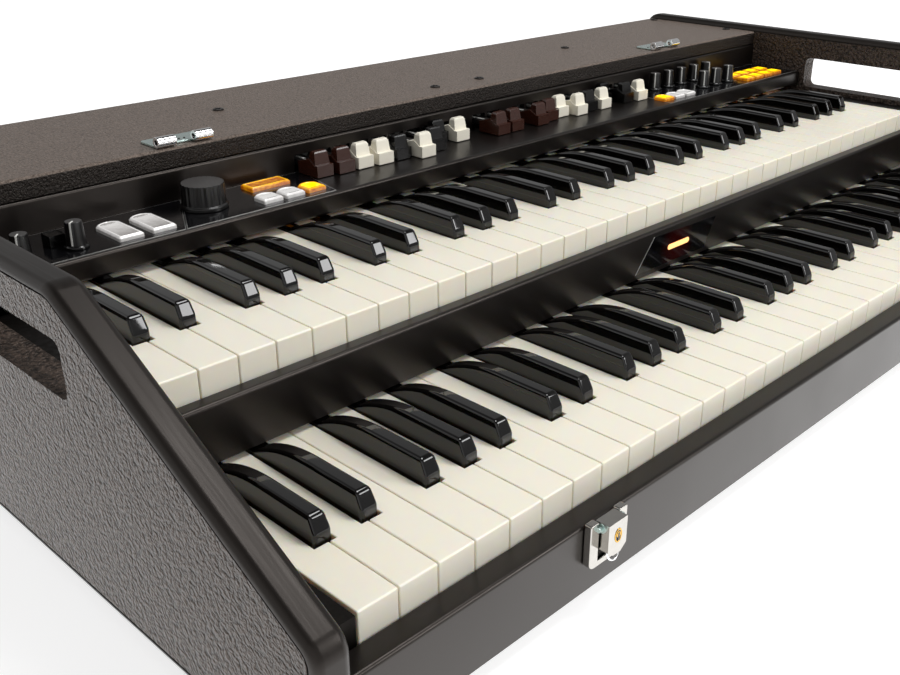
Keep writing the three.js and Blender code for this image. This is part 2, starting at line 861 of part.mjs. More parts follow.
// The large rotary knob: a fluted drum over a plain skirt
function largeKnob() {
  const skirt = turned([
    [0, -shaftLength],
    [shaftRadius, -shaftLength],
    [shaftRadius, knobFloat],
    [dialSkirt, knobFloat],
    [dialSkirt, knobFloat + dialSkirtThick],
    [0, knobFloat + dialSkirtThick],
  ], dialFlutes);
  const outline = [];
  for (let i = 0; i < 2 * dialFlutes; i += 1) {
    const angle = (i * Math.PI) / dialFlutes;
    const radius = dialRadius - dialEdge - (i % 2) * fluteDepth;
    outline.push([radius * Math.cos(angle), radius * Math.sin(angle)]);
  }
  const foot = knobFloat + dialSkirtThick - sink - dialEdge;
  const drum = swept('z', outline, foot, dialHeight, dialEdge, 1);
  const under = block(-dialSkirt, dialSkirt, -dialSkirt, dialSkirt, -overrun, foot + dialEdge);
  return skirt.add(drum.subtract(under));
}

// A button cap that draws in towards its top, on a foot that reaches the carrier
function buttonCap(cap) {
  const ring = (inset, height) => capPlan(cap.width / 2 - inset, cap.depth / 2 - inset, cap.bow)
    .map(([x, y]) => [cap.x + x, cap.y + y, height]);
  return lofted([
    ring(0, -sheet - seatGap - sink),
    ring(0, buttonHeight - buttonCrown),
    ring(buttonCrown, buttonHeight),
  ]);
}

// Buttons that share one carrier under the shelf
function buttonGroup(caps) {
  const x0 = Math.min(...caps.map((cap) => cap.x - cap.width / 2)) - carrierEdge;
  const x1 = Math.max(...caps.map((cap) => cap.x + cap.width / 2)) + carrierEdge;
  const y0 = Math.min(...caps.map((cap) => cap.y - cap.depth / 2)) - carrierEdge;
  const y1 = Math.max(...caps.map((cap) => cap.y + cap.depth / 2)) + carrierEdge;
  const top = -sheet - seatGap;
  const carrier = block(x0, x1, y0, y1, top - carrierThick, top);
  return joined(caps.map(buttonCap)).add(carrier);
}

// A flat rocker, drawn in along its rims
function rocker() {
  const plan = capPlan(rockerWidth / 2 - rockerEdge, rockerDepth / 2 - rockerEdge, rockerBow);
  return swept('z', plan, -rockerSink, rockerHeight, rockerEdge, 1);
}

function slideSwitch() {
  const halfX = slideWidth / 2 - slideEdge;
  const halfY = slideDepth / 2 - slideEdge;
  const outline = rectangle(-halfX, halfX, -halfY, halfY);
  const cap = swept('z', outline, knobFloat, slideHeight, slideEdge, 1);
  const half = slideStem / 2;
  const stem = block(-half, half, -half, half, -sheet - slideStem, knobFloat + slideEdge);
  return cap.add(stem);
}

// Latch, seen from the middle of its plate's top edge, with Y = 0 on the apron

function latchPlate() {
  const half = latchWidth / 2;
  const mouth = latchMouth / 2;
  const corners = [
    [-half, -latchHeight],
    [half, -latchHeight],
    [half, 0],
    [mouth, 0],
    [mouth, -latchMouthDepth],
    [-mouth, -latchMouthDepth],
    [-mouth, 0],
    [-half, 0],
  ];
  const horn = latchHorn;
  const radii = [latchCorner, latchCorner, horn, 0, horn, horn, 0, horn];
  const back = -seatGap;
  const plate = swept('y', rounded(corners, radii, fineSteps), back - latchThick, back);
  const reach = haspWidth / 2 + trunnionReach + runGap;
  const bore = rod(trunnionRadius + runGap / 2, -reach, reach).rotate([0, 90, 0]);
  return plate.subtract(bore.translate([0, -haspPivotStand, -haspDrop - haspPivotDrop]));
}

// The hasp, seen from its pivot
function latchHasp() {
  const half = haspWidth / 2;
  const top = haspPivotDrop;
  const foot = haspPivotDrop - haspHeight;
  const corners = [
    [-half, foot + haspCorner],
    [haspCorner - half, foot],
    [half - haspCorner, foot],
    [half, foot + haspCorner],
    [half, top],
    [-half, top],
  ];
  const back = haspPivotStand - haspStand;
  const shell = swept('y', corners, back - haspThick, back);
  const inner = half - haspWall;
  const well = block(-inner, inner, back - haspThick + haspWall, back + overrun,
    foot + haspCorner, top - haspRoof);
  const reach = half + trunnionReach;
  const pin = rod(trunnionRadius, -reach, reach).rotate([0, 90, 0]);
  return shell.subtract(well).add(pin);
}

// Half a lift-off hinge, seen from the middle of its axis
function hingeHalf() {
  const half = leafWidth / 2;
  const leafTop = leafThick - knuckleRadius;
  const corner = leafCorner;
  const plan = rounded(
    rectangle(-half, half, leafBehindAxis, leafBehindAxis + leafDepth), [0, 0, corner, corner], 1);
  let hinge = swept('z', plan, -knuckleRadius, leafTop);
  const knuckles = [-half, half - knuckleLength];
  for (const x of knuckles) {
    const barrel = rod(knuckleRadius, 0, knuckleLength, barrelSides).rotate([0, 90, 0]);
    const tongue = block(0, knuckleLength, 0, leafBehindAxis + sink, -knuckleRadius, leafTop);
    hinge = hinge.add(barrel.add(tongue).translate([x, 0, 0]));
  }
  const bore = rod(knuckleBore, -half - overrun, half + overrun).rotate([0, 90, 0]);
  return hinge.subtract(bore);
}

// Mains inlet, seen from the middle of its mouth, with Y = 0 on the rear panel
function mainsInlet() {
  const halfX = inletWidth / 2;
  const halfZ = inletHeight / 2;
  const body = block(-halfX, halfX, -inletBody, seatGap + sink, -halfZ, halfZ);
  const flangeX = halfX + inletFlange;
  const flangeTop = halfZ + inletFlange;
  const plan = rectangle(-flangeX, flangeX, -flangeTop, flangeTop);
  const flange = swept('y', plan, seatGap, seatGap + inletFlangeThick);
  const wellX = halfX - inletWall;
  const wellZ = halfZ - inletWall;
  const corners = [
    [-wellX, -wellZ],
    [wellX, -wellZ],
    [wellX, wellZ - inletCorner],
    [wellX - inletCorner, wellZ],
    [inletCorner - wellX, wellZ],
    [-wellX, wellZ - inletCorner],
  ];
  const well = swept('y', corners, -inletWell, overrun);
  const blades = [[-bladePitch, 0], [0, bladeRise], [bladePitch, 0]].map(([x, z]) => block(
    x - bladeWidth / 2, x + bladeWidth / 2,
    -inletWell - sink, -inletWell + bladeLength,
    z - bladeHeight / 2, z + bladeHeight / 2));
  return body.add(flange).subtract(well).add(joined(blades));
}

// Main board on posts, with the transformer at one end, seen from its middle on the case board
function mainBoard() {
  const halfX = mainBoardWidth / 2;
  const halfY = mainBoardDepth / 2;
  const top = postHeight + mainBoardThick;
  const board = block(-halfX, halfX, -halfY, halfY, postHeight, top);
  const posts = [];
  for (const x of [postInset - halfX, halfX - postInset]) {
    for (const y of [postInset - halfY, halfY - postInset]) {
      posts.push(rod(postRadius, 0, postHeight + sink).translate([x, y, 0]));
    }
  }
  const coreX = transformerFromEnd - halfX;
  const core = block(
    coreX, coreX + transformerWidth,
    -transformerDepth / 2, transformerDepth / 2,
    top - sink, top + transformerHeight);
  return board.add(joined(posts)).add(core);
}

// Assembly

const organ = new THREE.Group();

const sideX = halfInner + panelThick / 2;
for (const [name, x] of [['left_side_panel', -sideX], ['right_side_panel', sideX]]) {
  const panel = piece(name, sidePanel(), texturedBlack);
  panel.position.set(x, caseFront, footHeight);
  organ.add(panel);
}
organ.add(piece('bottom_board', bottomBoard(), texturedBlack));
organ.add(piece('rear_panel', rearPanel(), satinBlack));
organ.add(piece('top_cover', topCover(), texturedBlack));
organ.add(piece('front_apron', frontApron(), satinBlack));
organ.add(piece('middle_fascia', middleFascia(), satinBlack));

const apronGap = sheet + seatGap;
for (const [name, y, z, floorDrop, floorFront] of [
  ['lower', lowerY, lowerZ, lowerFloorDrop, apronGap - apronStand],
  ['upper', upperY, upperZ, upperFloorDrop, visibleKey - manualSetback + apronGap],
]) {
  const manual = new THREE.Group();
  manual.position.set(0, y, z);
  manual.add(piece(`${name}_key_chassis`, keyChassis(floorDrop, floorFront), satinBlack));
  manual.add(piece(`${name}_white_keys`, whiteKeys(), ivory));
  manual.add(piece(`${name}_black_keys`, blackKeys(), glossBlack));
  organ.add(manual);
}

const shelf = new THREE.Group();
shelf.position.set(0, lipY, shelfZ);
organ.add(shelf);
shelf.add(piece('control_panel', controlPanel(), satinBlack));
shelf.add(piece('drawbar_guide', drawbarGuide(), greyMetal));

const capLooks = [brownCap, brownCap, whiteCap, whiteCap, blackCap, whiteCap, blackCap, blackCap, whiteCap];
for (const bar of drawbars) {
  const place = Number(bar.name.split('_').at(-1)) - 1;
  const mesh = piece(bar.name, drawbar(), capLooks[place]);
  mesh.position.set(bar.x, capHome - bar.pull, capFloat);
  shelf.add(mesh);
}
for (const knob of knobs) {
  const mesh = piece(knob.name, smallKnob(), knobBlack);
  mesh.position.set(knob.x, knob.y, 0);
  shelf.add(mesh);
}
const dialMesh = piece('large_knob', largeKnob(), knobBlack);
dialMesh.position.set(dial.x, dial.y, 0);
shelf.add(dialMesh);
rockers.forEach((place, i) => {
  const mesh = piece(`rocker_${i + 1}`, rocker(), clearPlastic);
  mesh.position.set(place.x, place.y, 0);
  shelf.add(mesh);
});
const slideMesh = piece('slide_switch', slideSwitch(), knobBlack);
slideMesh.position.set(slide.x, slide.y, 0);
shelf.add(slideMesh);
shelf.add(piece('left_buttons', buttonGroup(leftCaps), clearPlastic));
shelf.add(piece('right_buttons', buttonGroup(rightCaps), clearPlastic));
shelf.add(piece('preset_buttons', buttonGroup(presetCaps), amberPlastic));

for (const [side, x] of [['left', -latchFromMiddle], ['right', latchFromMiddle]]) {
  const latch = new THREE.Group();
  latch.position.set(x, lowerY - apronStand, lowerZ - ledgeDrop + latchRise);
  latch.add(piece(`${side}_latch_plate`, latchPlate(), chrome));
  const hasp = piece(`${side}_latch_hasp`, latchHasp(), chrome);
  hasp.position.set(0, -haspPivotStand, -haspDrop - haspPivotDrop);
  latch.add(hasp);
  organ.add(latch);
}

for (const [side, x] of [['left', -hingeFromMiddle], ['right', hingeFromMiddle]]) {
  const hinge = piece(`${side}_hinge_half`, hingeHalf(), chrome);
  hinge.position.set(x, coverY + knuckleFromFront, coverTop + seatGap + knuckleRadius);
  organ.add(hinge);
}

const inlet = piece('mains_inlet', mainsInlet(), knobBlack);
inlet.position.set(inletX, rearY, inletZ);
organ.add(inlet);

const mainBoardY = rearY - rearThick - mainBoardFromRear - mainBoardDepth / 2;
const board = piece('main_board', mainBoard(), circuitGreen);
board.position.set(0, mainBoardY, boardTop + seatGap);
organ.add(board);

export default organ;
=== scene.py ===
# %% [markdown]
# This lesson dresses a drawbar organ: two manuals of keys in a low black case, with a bank of
# drawbars, knobs and lit buttons on a folded metal shelf. The working model is loaded first and
# stays where it is. Each cell then makes one family of pieces or one finish around it.

# %% Load the frame
import math

import bmesh
import bpy
from mathutils import Matrix, Vector


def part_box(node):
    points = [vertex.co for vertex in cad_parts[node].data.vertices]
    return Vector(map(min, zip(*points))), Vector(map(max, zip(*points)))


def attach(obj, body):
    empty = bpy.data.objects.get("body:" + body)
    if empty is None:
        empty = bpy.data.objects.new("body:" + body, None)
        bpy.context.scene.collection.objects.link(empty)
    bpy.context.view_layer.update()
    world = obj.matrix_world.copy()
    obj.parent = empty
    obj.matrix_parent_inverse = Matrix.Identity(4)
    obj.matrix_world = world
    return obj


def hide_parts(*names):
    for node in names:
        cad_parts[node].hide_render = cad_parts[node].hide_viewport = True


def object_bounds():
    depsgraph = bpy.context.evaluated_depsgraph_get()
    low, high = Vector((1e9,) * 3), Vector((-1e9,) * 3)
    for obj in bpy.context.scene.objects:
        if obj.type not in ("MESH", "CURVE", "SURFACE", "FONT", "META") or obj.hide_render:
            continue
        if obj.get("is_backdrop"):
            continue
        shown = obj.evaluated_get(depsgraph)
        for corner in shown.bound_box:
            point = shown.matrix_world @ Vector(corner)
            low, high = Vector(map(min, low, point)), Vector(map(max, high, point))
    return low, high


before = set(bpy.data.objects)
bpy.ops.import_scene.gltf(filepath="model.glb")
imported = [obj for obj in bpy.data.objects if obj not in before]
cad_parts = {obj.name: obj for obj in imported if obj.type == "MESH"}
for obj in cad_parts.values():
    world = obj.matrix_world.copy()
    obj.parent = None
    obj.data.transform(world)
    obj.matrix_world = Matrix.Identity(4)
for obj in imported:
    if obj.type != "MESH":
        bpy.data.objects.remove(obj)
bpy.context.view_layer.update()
MM = 0.001

# %% [markdown]
# Modelling by hand means opening a mesh in edit mode, selecting some of it and running a tool.
# These helpers do the same in a script. An operator works on everything that is selected, so each
# helper starts by clearing the selection, and elements are picked by their place or direction.

# %% Helpers that select
KINDS = {"VERT": "verts", "EDGE": "edges", "FACE": "faces"}


def rest():
    if bpy.context.mode != "OBJECT":
        bpy.ops.object.mode_set(mode="OBJECT")
    bpy.ops.object.select_all(action="DESELECT")


def activate(obj):
    rest()
    obj.select_set(True)
    bpy.context.view_layer.objects.active = obj


def middle(item):
    """The middle of a corner, an edge or a face."""
    if isinstance(item, bmesh.types.BMVert):
        return item.co
    points = [corner.co for corner in item.verts]
    return sum(points, Vector()) / len(points)


def select(obj, kind, test=None):
    """Opens a piece in edit mode and selects the elements that pass the test, or all of them."""
    activate(obj)
    bpy.ops.object.mode_set(mode="EDIT")
    bpy.ops.mesh.select_mode(type=kind)
    bpy.ops.mesh.select_all(action="DESELECT")
    mesh = bmesh.from_edit_mesh(obj.data)
    mesh.normal_update()
    for item in getattr(mesh, KINDS[kind]):
        item.select_set(test is None or bool(test(item)))
    mesh.select_flush_mode()
    bmesh.update_edit_mesh(obj.data)


def near(value, wanted, room=0.02 * MM):
    return abs(value - wanted) < room


def runs(edge, axis):
    """True for an edge that runs along an axis, 0, 1 or 2."""
    a, b = edge.verts
    return abs((b.co - a.co).normalized()[axis]) > 0.999


def flat_at(edge, axis, value):
    """True for an edge that lies in the plane at that value of an axis."""
    return all(near(corner.co[axis], value) for corner in edge.verts)


print("helpers that select:", sorted(KINDS))

# %% [markdown]
# Most pieces start as a cube primitive that is stretched, or as a flat outline that is pulled out
# along an axis. Modifiers and bevels then shape them, and shading by angle keeps real edges crisp.

# %% Helpers that shape
def block(name, low, high):
    """A cube primitive stretched between two corners, with its place in its mesh."""
    rest()
    centre = (Vector(low) + Vector(high)) / 2
    bpy.ops.mesh.primitive_cube_add(size=1, location=centre)
    made = bpy.context.object
    made.name = name
    made.scale = Vector(high) - Vector(low)
    bpy.ops.object.transform_apply(location=True, rotation=True, scale=True)
    return made


def rod(radius, length, place=(0, 0, 0), turn=(0, 0, 0), vertices=28, stretch=(1, 1, 1)):
    """A cylinder primitive, stretched, turned and moved, with its place in its mesh."""
    rest()
    bpy.ops.mesh.primitive_cylinder_add(vertices=vertices, radius=radius, depth=length,
                                        location=place, rotation=turn)
    made = bpy.context.object
    made.scale = stretch
    bpy.ops.object.transform_apply(location=True, rotation=True, scale=True)
    return made


def wire(name, points, closed):
    """A chain of edges through the points, left open in edit mode with all of it selected."""
    rest()
    bpy.ops.mesh.primitive_plane_add(size=1)
    made = bpy.context.object
    made.name = name
    select(made, "VERT")
    bpy.ops.mesh.delete(type="VERT")
    mesh = bmesh.from_edit_mesh(made.data)
    corners = [mesh.verts.new(point) for point in points]
    pairs = list(zip(corners, corners[1:]))
    if closed:
        pairs.append((corners[-1], corners[0]))
    for a, b in pairs:
        mesh.edges.new((a, b))
    bmesh.update_edit_mesh(made.data)
    bpy.ops.mesh.select_all(action="SELECT")
    return made


def prism(name, outline, axis, start, end):
    """A flat outline pulled out along an axis. Its points hold the other two coordinates."""
    points = []
    for a, b in outline:
        place = [a, b]
        place.insert(axis, start)
        points.append(place)
    made = wire(name, points, closed=True)
    bpy.ops.mesh.edge_face_add()
    travel = [0, 0, 0]
    travel[axis] = end - start
    bpy.ops.mesh.extrude_region_move(TRANSFORM_OT_translate={"value": travel})
    bpy.ops.mesh.select_all(action="SELECT")
    bpy.ops.mesh.normals_make_consistent(inside=False)
    rest()
    return made


def spun(name, profile, steps=36):
    """Spins an outline of radius and height pairs round the Z axis. It starts and ends on it."""
    made = wire(name, [(radius, 0, height) for radius, height in profile], closed=False)
    bpy.ops.mesh.spin(steps=steps, angle=2 * math.pi, center=(0, 0, 0), axis=(0, 0, 1))
    bpy.ops.mesh.select_all(action="SELECT")
    bpy.ops.mesh.remove_doubles(threshold=0.001 * MM)
    bpy.ops.mesh.normals_make_consistent(inside=False)
    rest()
    return made


def bevel(obj, width, segments, test):
    select(obj, "EDGE", test)
    bpy.ops.mesh.bevel(offset=width, segments=segments, affect="EDGES", clamp_overlap=True)
    rest()


def round_corners(obj, axis, places, width, segments=5):
    """Rounds the edges along an axis that pass through the given places."""
    a, b = [other for other in range(3) if other != axis]
    bevel(obj, width, segments, lambda edge: runs(edge, axis) and any(
        near(middle(edge)[a], u, 0.05 * MM) and near(middle(edge)[b], v, 0.05 * MM)
        for u, v in places))


def modify(obj, kind, **settings):
    """Adds one modifier and applies it."""
    activate(obj)
    modifier = obj.modifiers.new(kind.title(), kind)
    for key, value in settings.items():
        setattr(modifier, key, value)
    bpy.ops.object.modifier_apply(modifier=modifier.name)


def shade(obj, angle=40):
    activate(obj)
    bpy.ops.object.shade_smooth_by_angle(angle=math.radians(angle))
    modify(obj, "WEIGHTED_NORMAL", keep_sharp=True)


def soften(obj, width, segments=2, angle=35):
    """Rounds every sharp edge a little, as moulding and paint do, and shades the piece smooth."""
    modify(obj, "BEVEL", width=width, segments=segments, limit_method="ANGLE",
           angle_limit=math.radians(angle), harden_normals=False)
    shade(obj)


def cut(obj, tool, operation="DIFFERENCE"):
    """Cuts a tool out of a piece, or joins it, and throws the tool away."""
    modify(obj, "BOOLEAN", object=tool, operation=operation, solver="EXACT")
    bpy.data.objects.remove(tool)


def join(parts, name):
    rest()
    for part in parts:
        part.select_set(True)
    bpy.context.view_layer.objects.active = parts[0]
    if len(parts) > 1:
        bpy.ops.object.join()
    parts[0].name = name
    return parts[0]


def copy_of(obj, name, offset=(0, 0, 0), turn=0.0):
    """A copy with its own mesh, turned round the Z axis and moved in its mesh."""
    made = obj.copy()
    made.data = obj.data.copy()
    made.name = name
    made.data.name = name
    made.data.transform(Matrix.Translation(offset) @ Matrix.Rotation(turn, 4, "Z"))
    bpy.context.scene.collection.objects.link(made)
    return made


def remove(*objects):
    for obj in objects:
        bpy.data.objects.remove(obj)


def paint(obj, *materials):
    """Gives a piece its finishes, in the order of its slots."""
    for material in materials:
        obj.data.materials.append(material)
    return obj


def paint_selected(obj):
    """Gives the faces that are selected the piece's second finish, and leaves edit mode."""
    obj.active_material_index = 1
    bpy.ops.object.material_slot_assign()
    rest()


def dress(obj, body, slot, *materials, stands_for=()):
    """Gives a finished piece its materials, its body and the nodes that it stands for."""
    paint(obj, *materials)
    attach(obj, body)
    if stands_for:
        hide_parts(*stands_for)


print("helpers that shape: ready")

# %% [markdown]
# Shader nodes take linear colours, so one function turns the hex value of a paint chart into them.
# One more adds a node with its settings and links, and the finishes below are built from it.

# %% Helpers for materials
def linear(colour):
    channels = [int(colour[i:i + 2], 16) / 255 for i in (1, 3, 5)]
    return [c / 12.92 if c <= 0.04045 else ((c + 0.055) / 1.055) ** 2.4 for c in channels] + [1]


def add_node(tree, kind, inputs=None, **settings):
    """Adds a shader node, sets its properties, and sets or links its inputs."""
    made = tree.nodes.new("ShaderNode" + kind)
    for key, value in settings.items():
        setattr(made, key, value)
    for key, value in (inputs or {}).items():
        if isinstance(value, bpy.types.NodeSocket):
            tree.links.new(value, made.inputs[key])
        else:
            made.inputs[key].default_value = value
    return made


def finish_of(name, colour, **inputs):
    """A material with one Principled shader. Returns the material, its node tree and the shader."""
    material = bpy.data.materials.new(name)
    material.use_nodes = True
    tree = material.node_tree
    shader = tree.nodes["Principled BSDF"]
    shader.inputs["Base Color"].default_value = linear(colour)
    for key, value in inputs.items():
        shader.inputs[key.replace("_", " ")].default_value = value
    return material, tree, shader


def grain(tree, size, detail=2.0, rough=0.5):
    """Noise on the piece's own coordinates, with spots of about the given size in metres."""
    place = add_node(tree, "TexCoord")
    return add_node(tree, "TexNoise", {
        "Vector": place.outputs["Object"], "Scale": 1 / size, "Detail": detail, "Roughness": rough})


def spread(tree, value, low, high, start=0.35, end=0.65):
    """Maps a pattern's middle range to a range of roughness or height."""
    return add_node(tree, "MapRange", {
        "Value": value, "From Min": start, "From Max": end, "To Min": low, "To Max": high})


def tint(tree, shader, factor, first, second):
    """Drives the base colour between two close tones of one finish."""
    mixed = add_node(tree, "Mix", data_type="RGBA")
    tree.links.new(factor, mixed.inputs["Factor"])
    mixed.inputs[6].default_value = linear(first)
    mixed.inputs[7].default_value = linear(second)
    tree.links.new(mixed.outputs[2], shader.inputs["Base Color"])


def vary(tree, shader, value, low, high):
    """Lets a pattern move the roughness between two values."""
    uneven = spread(tree, value, low, high)
    tree.links.new(uneven.outputs[0], shader.inputs["Roughness"])


def bump(tree, shader, height, distance, strength=1.0):
    made = add_node(tree, "Bump", {"Height": height, "Distance": distance, "Strength": strength})
    tree.links.new(made.outputs["Normal"], shader.inputs["Normal"])


print("helpers for materials: ready")

# %% [markdown]
# The camera stands to the left of the organ and a little above it, close to its bass end, so the
# keys run away to the right. Its place was worked out from the corners of the keys, whose width is
# a known standard. The small shift brings the picture's middle to where the photographer framed it.

# %% Camera
CAMERA_PLACE = Vector((-637.27, -508.33, 352.17)) * MM
CAMERA_TURN = [math.radians(angle) for angle in (65.066, -0.538, -46.373)]
camera_data = bpy.data.cameras.new("camera")
camera_data.sensor_width = 36
camera_data.lens = 41.93
camera_data.shift_x = -0.0431
camera_data.shift_y = 0.0043
camera_data.clip_start = 0.02
camera = bpy.data.objects.new("camera", camera_data)
camera.location = CAMERA_PLACE
camera.rotation_euler = CAMERA_TURN
bpy.context.scene.collection.objects.link(camera)
bpy.context.scene.camera = camera
bpy.context.scene.view_settings.view_transform = "Standard"
print("camera: lens", camera_data.lens, "mm")

# %% [markdown]
# Black plastic is drawn by what it mirrors, so mirrors see a real room: a bright wall at the left,
# a dim one at the right and a dark ceiling. Matt surfaces get an even grey fill from it. A square
# softbox stands at the front right, and its image is what whitens the tips of some black keys. A
# smaller one overhead lights the tops and draws the bright lines on the folds.

# %% World and softbox
FILL, LEFT_WALL, RIGHT_WALL, CEILING = 0.42, 1.0, 0.42, 0.12
world = bpy.data.worlds.new("studio")
world.use_nodes = True
bpy.context.scene.world = world
tree = world.node_tree
backdrop = tree.nodes["Background"]
path = add_node(tree, "LightPath")
place = add_node(tree, "TexCoord")
towards = add_node(tree, "SeparateXYZ", {0: place.outputs["Generated"]})
wall = add_node(tree, "MapRange", {"Value": towards.outputs["X"], "From Min": -0.5, "From Max": 0.1,
                                   "To Min": LEFT_WALL, "To Max": RIGHT_WALL})
room = add_node(tree, "MapRange", {"Value": towards.outputs["Z"], "From Min": 0.56, "From Max": 0.82,
                                   "To Min": wall.outputs[0], "To Max": CEILING})
mirrors = add_node(tree, "Math", {0: path.outputs["Is Glossy Ray"],
                                  1: path.outputs["Is Transmission Ray"]}, operation="MAXIMUM")
mixed = add_node(tree, "Mix", data_type="FLOAT")
tree.links.new(mirrors.outputs[0], mixed.inputs["Factor"])
mixed.inputs[2].default_value = FILL
tree.links.new(room.outputs[0], mixed.inputs[3])
level = add_node(tree, "Math", {0: path.outputs["Is Camera Ray"], 1: mixed.outputs[0]},
                 operation="MAXIMUM")
backdrop.inputs["Color"].default_value = (1, 1, 1, 1)
tree.links.new(level.outputs[0], backdrop.inputs["Strength"])


def softbox(name, place, size, watts):
    """A square softbox that faces the organ."""
    data = bpy.data.lights.new(name, "AREA")
    data.shape = "SQUARE"
    data.size = size
    data.energy = watts
    lamp = bpy.data.objects.new(name, data)
    lamp.location = place
    lamp.rotation_euler = (-lamp.location).to_track_quat("-Z", "Y").to_euler()
    bpy.context.scene.collection.objects.link(lamp)


softbox("front_right_softbox", (1.41, -2.32, 1.47), 1.02, 36)
softbox("overhead_softbox", (0.5, -0.4, 2.3), 0.85, 27)

# %% [markdown]
# The floor is a pale sheet under the feet. It takes the softboxes' shadow. Its own light keeps it
# white before the camera, and in mirrors the part near the organ is as overexposed as in a
# photographer's studio.

# %% Floor
FLOOR_SIZE, FLOOR_DROP = 14, 0.5 * MM  # the drop keeps it clear of the feet
rest()
bpy.ops.mesh.primitive_plane_add(size=FLOOR_SIZE, location=(0, 0, -FLOOR_DROP))
floor = bpy.context.object
floor.name = "floor"
floor_paint, tree, shader = finish_of("pale_studio_floor", "#cdcdcd", Roughness=0.9)
speckle = grain(tree, 40 * MM)
tint(tree, shader, speckle.outputs["Fac"], "#cdcdcd", "#cbcbcb")
shader.inputs["Emission Color"].default_value = (1, 1, 1, 1)
path = add_node(tree, "LightPath")
seen = add_node(tree, "Math", {0: path.outputs["Is Camera Ray"], 1: 0.62, 2: 0.1},
                operation="MULTIPLY_ADD")
place = add_node(tree, "TexCoord")
away = add_node(tree, "VectorMath", {0: place.outputs["Object"]}, operation="LENGTH")
close = spread(tree, away.outputs["Value"], 1.5, 0.0, 0.7, 1.9)
lift = add_node(tree, "Math", {0: path.outputs["Is Glossy Ray"], 1: close.outputs[0],
                               2: seen.outputs[0]}, operation="MULTIPLY_ADD")
tree.links.new(lift.outputs[0], shader.inputs["Emission Strength"])
paint(floor, floor_paint)
floor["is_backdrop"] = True
print("floor:", floor.name)

# %% [markdown]
# The case is plywood under a tough textured paint that dries in small pebbles. What the eye sees is
# the pale room caught on thousands of bumps. The hollows between the pebbles are painted darker,
# which is painted shade. Its edges wear a smooth satin moulding.

# %% Case finishes
def pebbled(name, light, hollow_shade_colour, size, depth):
    """Textured paint whose pebbles have about the given size and depth, with painted shade in the hollows.
    """
    material, tree, shader = finish_of(
        name, light, Specular_IOR_Level=0.32, Specular_Tint=(1, 0.9, 0.83, 1))
    place = add_node(tree, "TexCoord")
    wobble = add_node(tree, "TexNoise", {
        "Vector": place.outputs["Object"], "Scale": 0.5 / size, "Detail": 2.0})
    shift = add_node(tree, "VectorMath", {0: wobble.outputs["Color"], "Scale": 2.2 * size},
                     operation="SCALE")
    moved = add_node(tree, "VectorMath", {0: place.outputs["Object"], 1: shift.outputs[0]},
                     operation="ADD")
    pebbles = add_node(tree, "TexVoronoi", {"Vector": moved.outputs[0], "Scale": 1 / size},
                       feature="SMOOTH_F1")
    fine = add_node(tree, "TexNoise", {
        "Vector": place.outputs["Object"], "Scale": 1.4 / size, "Detail": 3.0})
    height = add_node(tree, "Math", {0: pebbles.outputs["Distance"], 1: -1.0}, operation="MULTIPLY")
    height = add_node(tree, "Math", {0: fine.outputs["Fac"], 1: 0.7, 2: height.outputs[0]},
                      operation="MULTIPLY_ADD")
    bump(tree, shader, height.outputs[0], depth)
    vary(tree, shader, fine.outputs["Fac"], 0.34, 0.46)
    # painted shade: the low parts of the pebbles get the darker colour
    hollow_shade = spread(tree, height.outputs[0], 0.0, 1.0, -0.35, 0.2)
    tint(tree, shader, hollow_shade.outputs[0], hollow_shade_colour, light)
    return material


case_paint = pebbled("textured_case_paint", "#54473f", "#1b1613", 2.3 * MM, 2.2 * MM)
cover_paint = pebbled("textured_cover_paint", "#7a6d64", "#4c423b", 1.3 * MM, 0.6 * MM)
# painted shade: a darker copy of the cover paint for the cover's upright faces
cover_painted_shade = pebbled("textured_cover_painted_shade", "#1f1a17", "#0a0807", 1.3 * MM, 0.9 * MM)

moulding_paint, tree, shader = finish_of(
    "satin_edge_moulding", "#2b2725", Specular_IOR_Level=0.27, Specular_Tint=(1, 0.9, 0.83, 1))
place = add_node(tree, "TexCoord")
along = add_node(tree, "VectorMath", {0: place.outputs["Object"], 1: (45.0, 1.0, 1.0)},
                 operation="MULTIPLY")
streak = add_node(tree, "TexNoise", {"Vector": along.outputs[0], "Scale": 1 / (60 * MM), "Detail": 3.0})
tint(tree, shader, streak.outputs["Fac"], "#100e0c", "#1d1917")
vary(tree, shader, streak.outputs["Fac"], 0.34, 0.42)
print("case finishes:", case_paint.name, cover_paint.name, cover_painted_shade.name, moulding_paint.name)

# %% [markdown]
# The folded sheets are powder coated: black, satin, and so even that they mirror the keys as
# blurred streaks. A very faint orange peel breaks the mirror image up.

# %% Satin black sheet
sheet_paint, tree, shader = finish_of(
    "satin_black_powder_coat", "#0c0a09", Specular_IOR_Level=0.35, Specular_Tint=(1, 0.88, 0.8, 1))
peel = grain(tree, 1.4 * MM)
bump(tree, shader, peel.outputs["Fac"], 0.02 * MM, 0.5)
vary(tree, shader, grain(tree, 60 * MM).outputs["Fac"], 0.3, 0.35)
tint(tree, shader, peel.outputs["Fac"], "#0a0807", "#0f0c0b")
print("sheet finish:", sheet_paint.name)

# %% [markdown]
# White keys are moulded in ivory ABS and polished. Light goes a little way into it, which warms
# the gaps between the keys. Black keys are gloss ABS, a dark mirror.

# %% Key plastics
ivory, tree, shader = finish_of(
    "ivory_abs", "#f6f0e0", Roughness=0.26, Subsurface_Weight=0.45, Subsurface_Scale=3.0 * MM)
shader.inputs["Subsurface Radius"].default_value = (1.0, 0.7, 0.35)
cloud = grain(tree, 90 * MM, detail=0.0)
tint(tree, shader, cloud.outputs["Fac"], "#f6f0e1", "#f5eedd")
vary(tree, shader, cloud.outputs["Fac"], 0.25, 0.27)

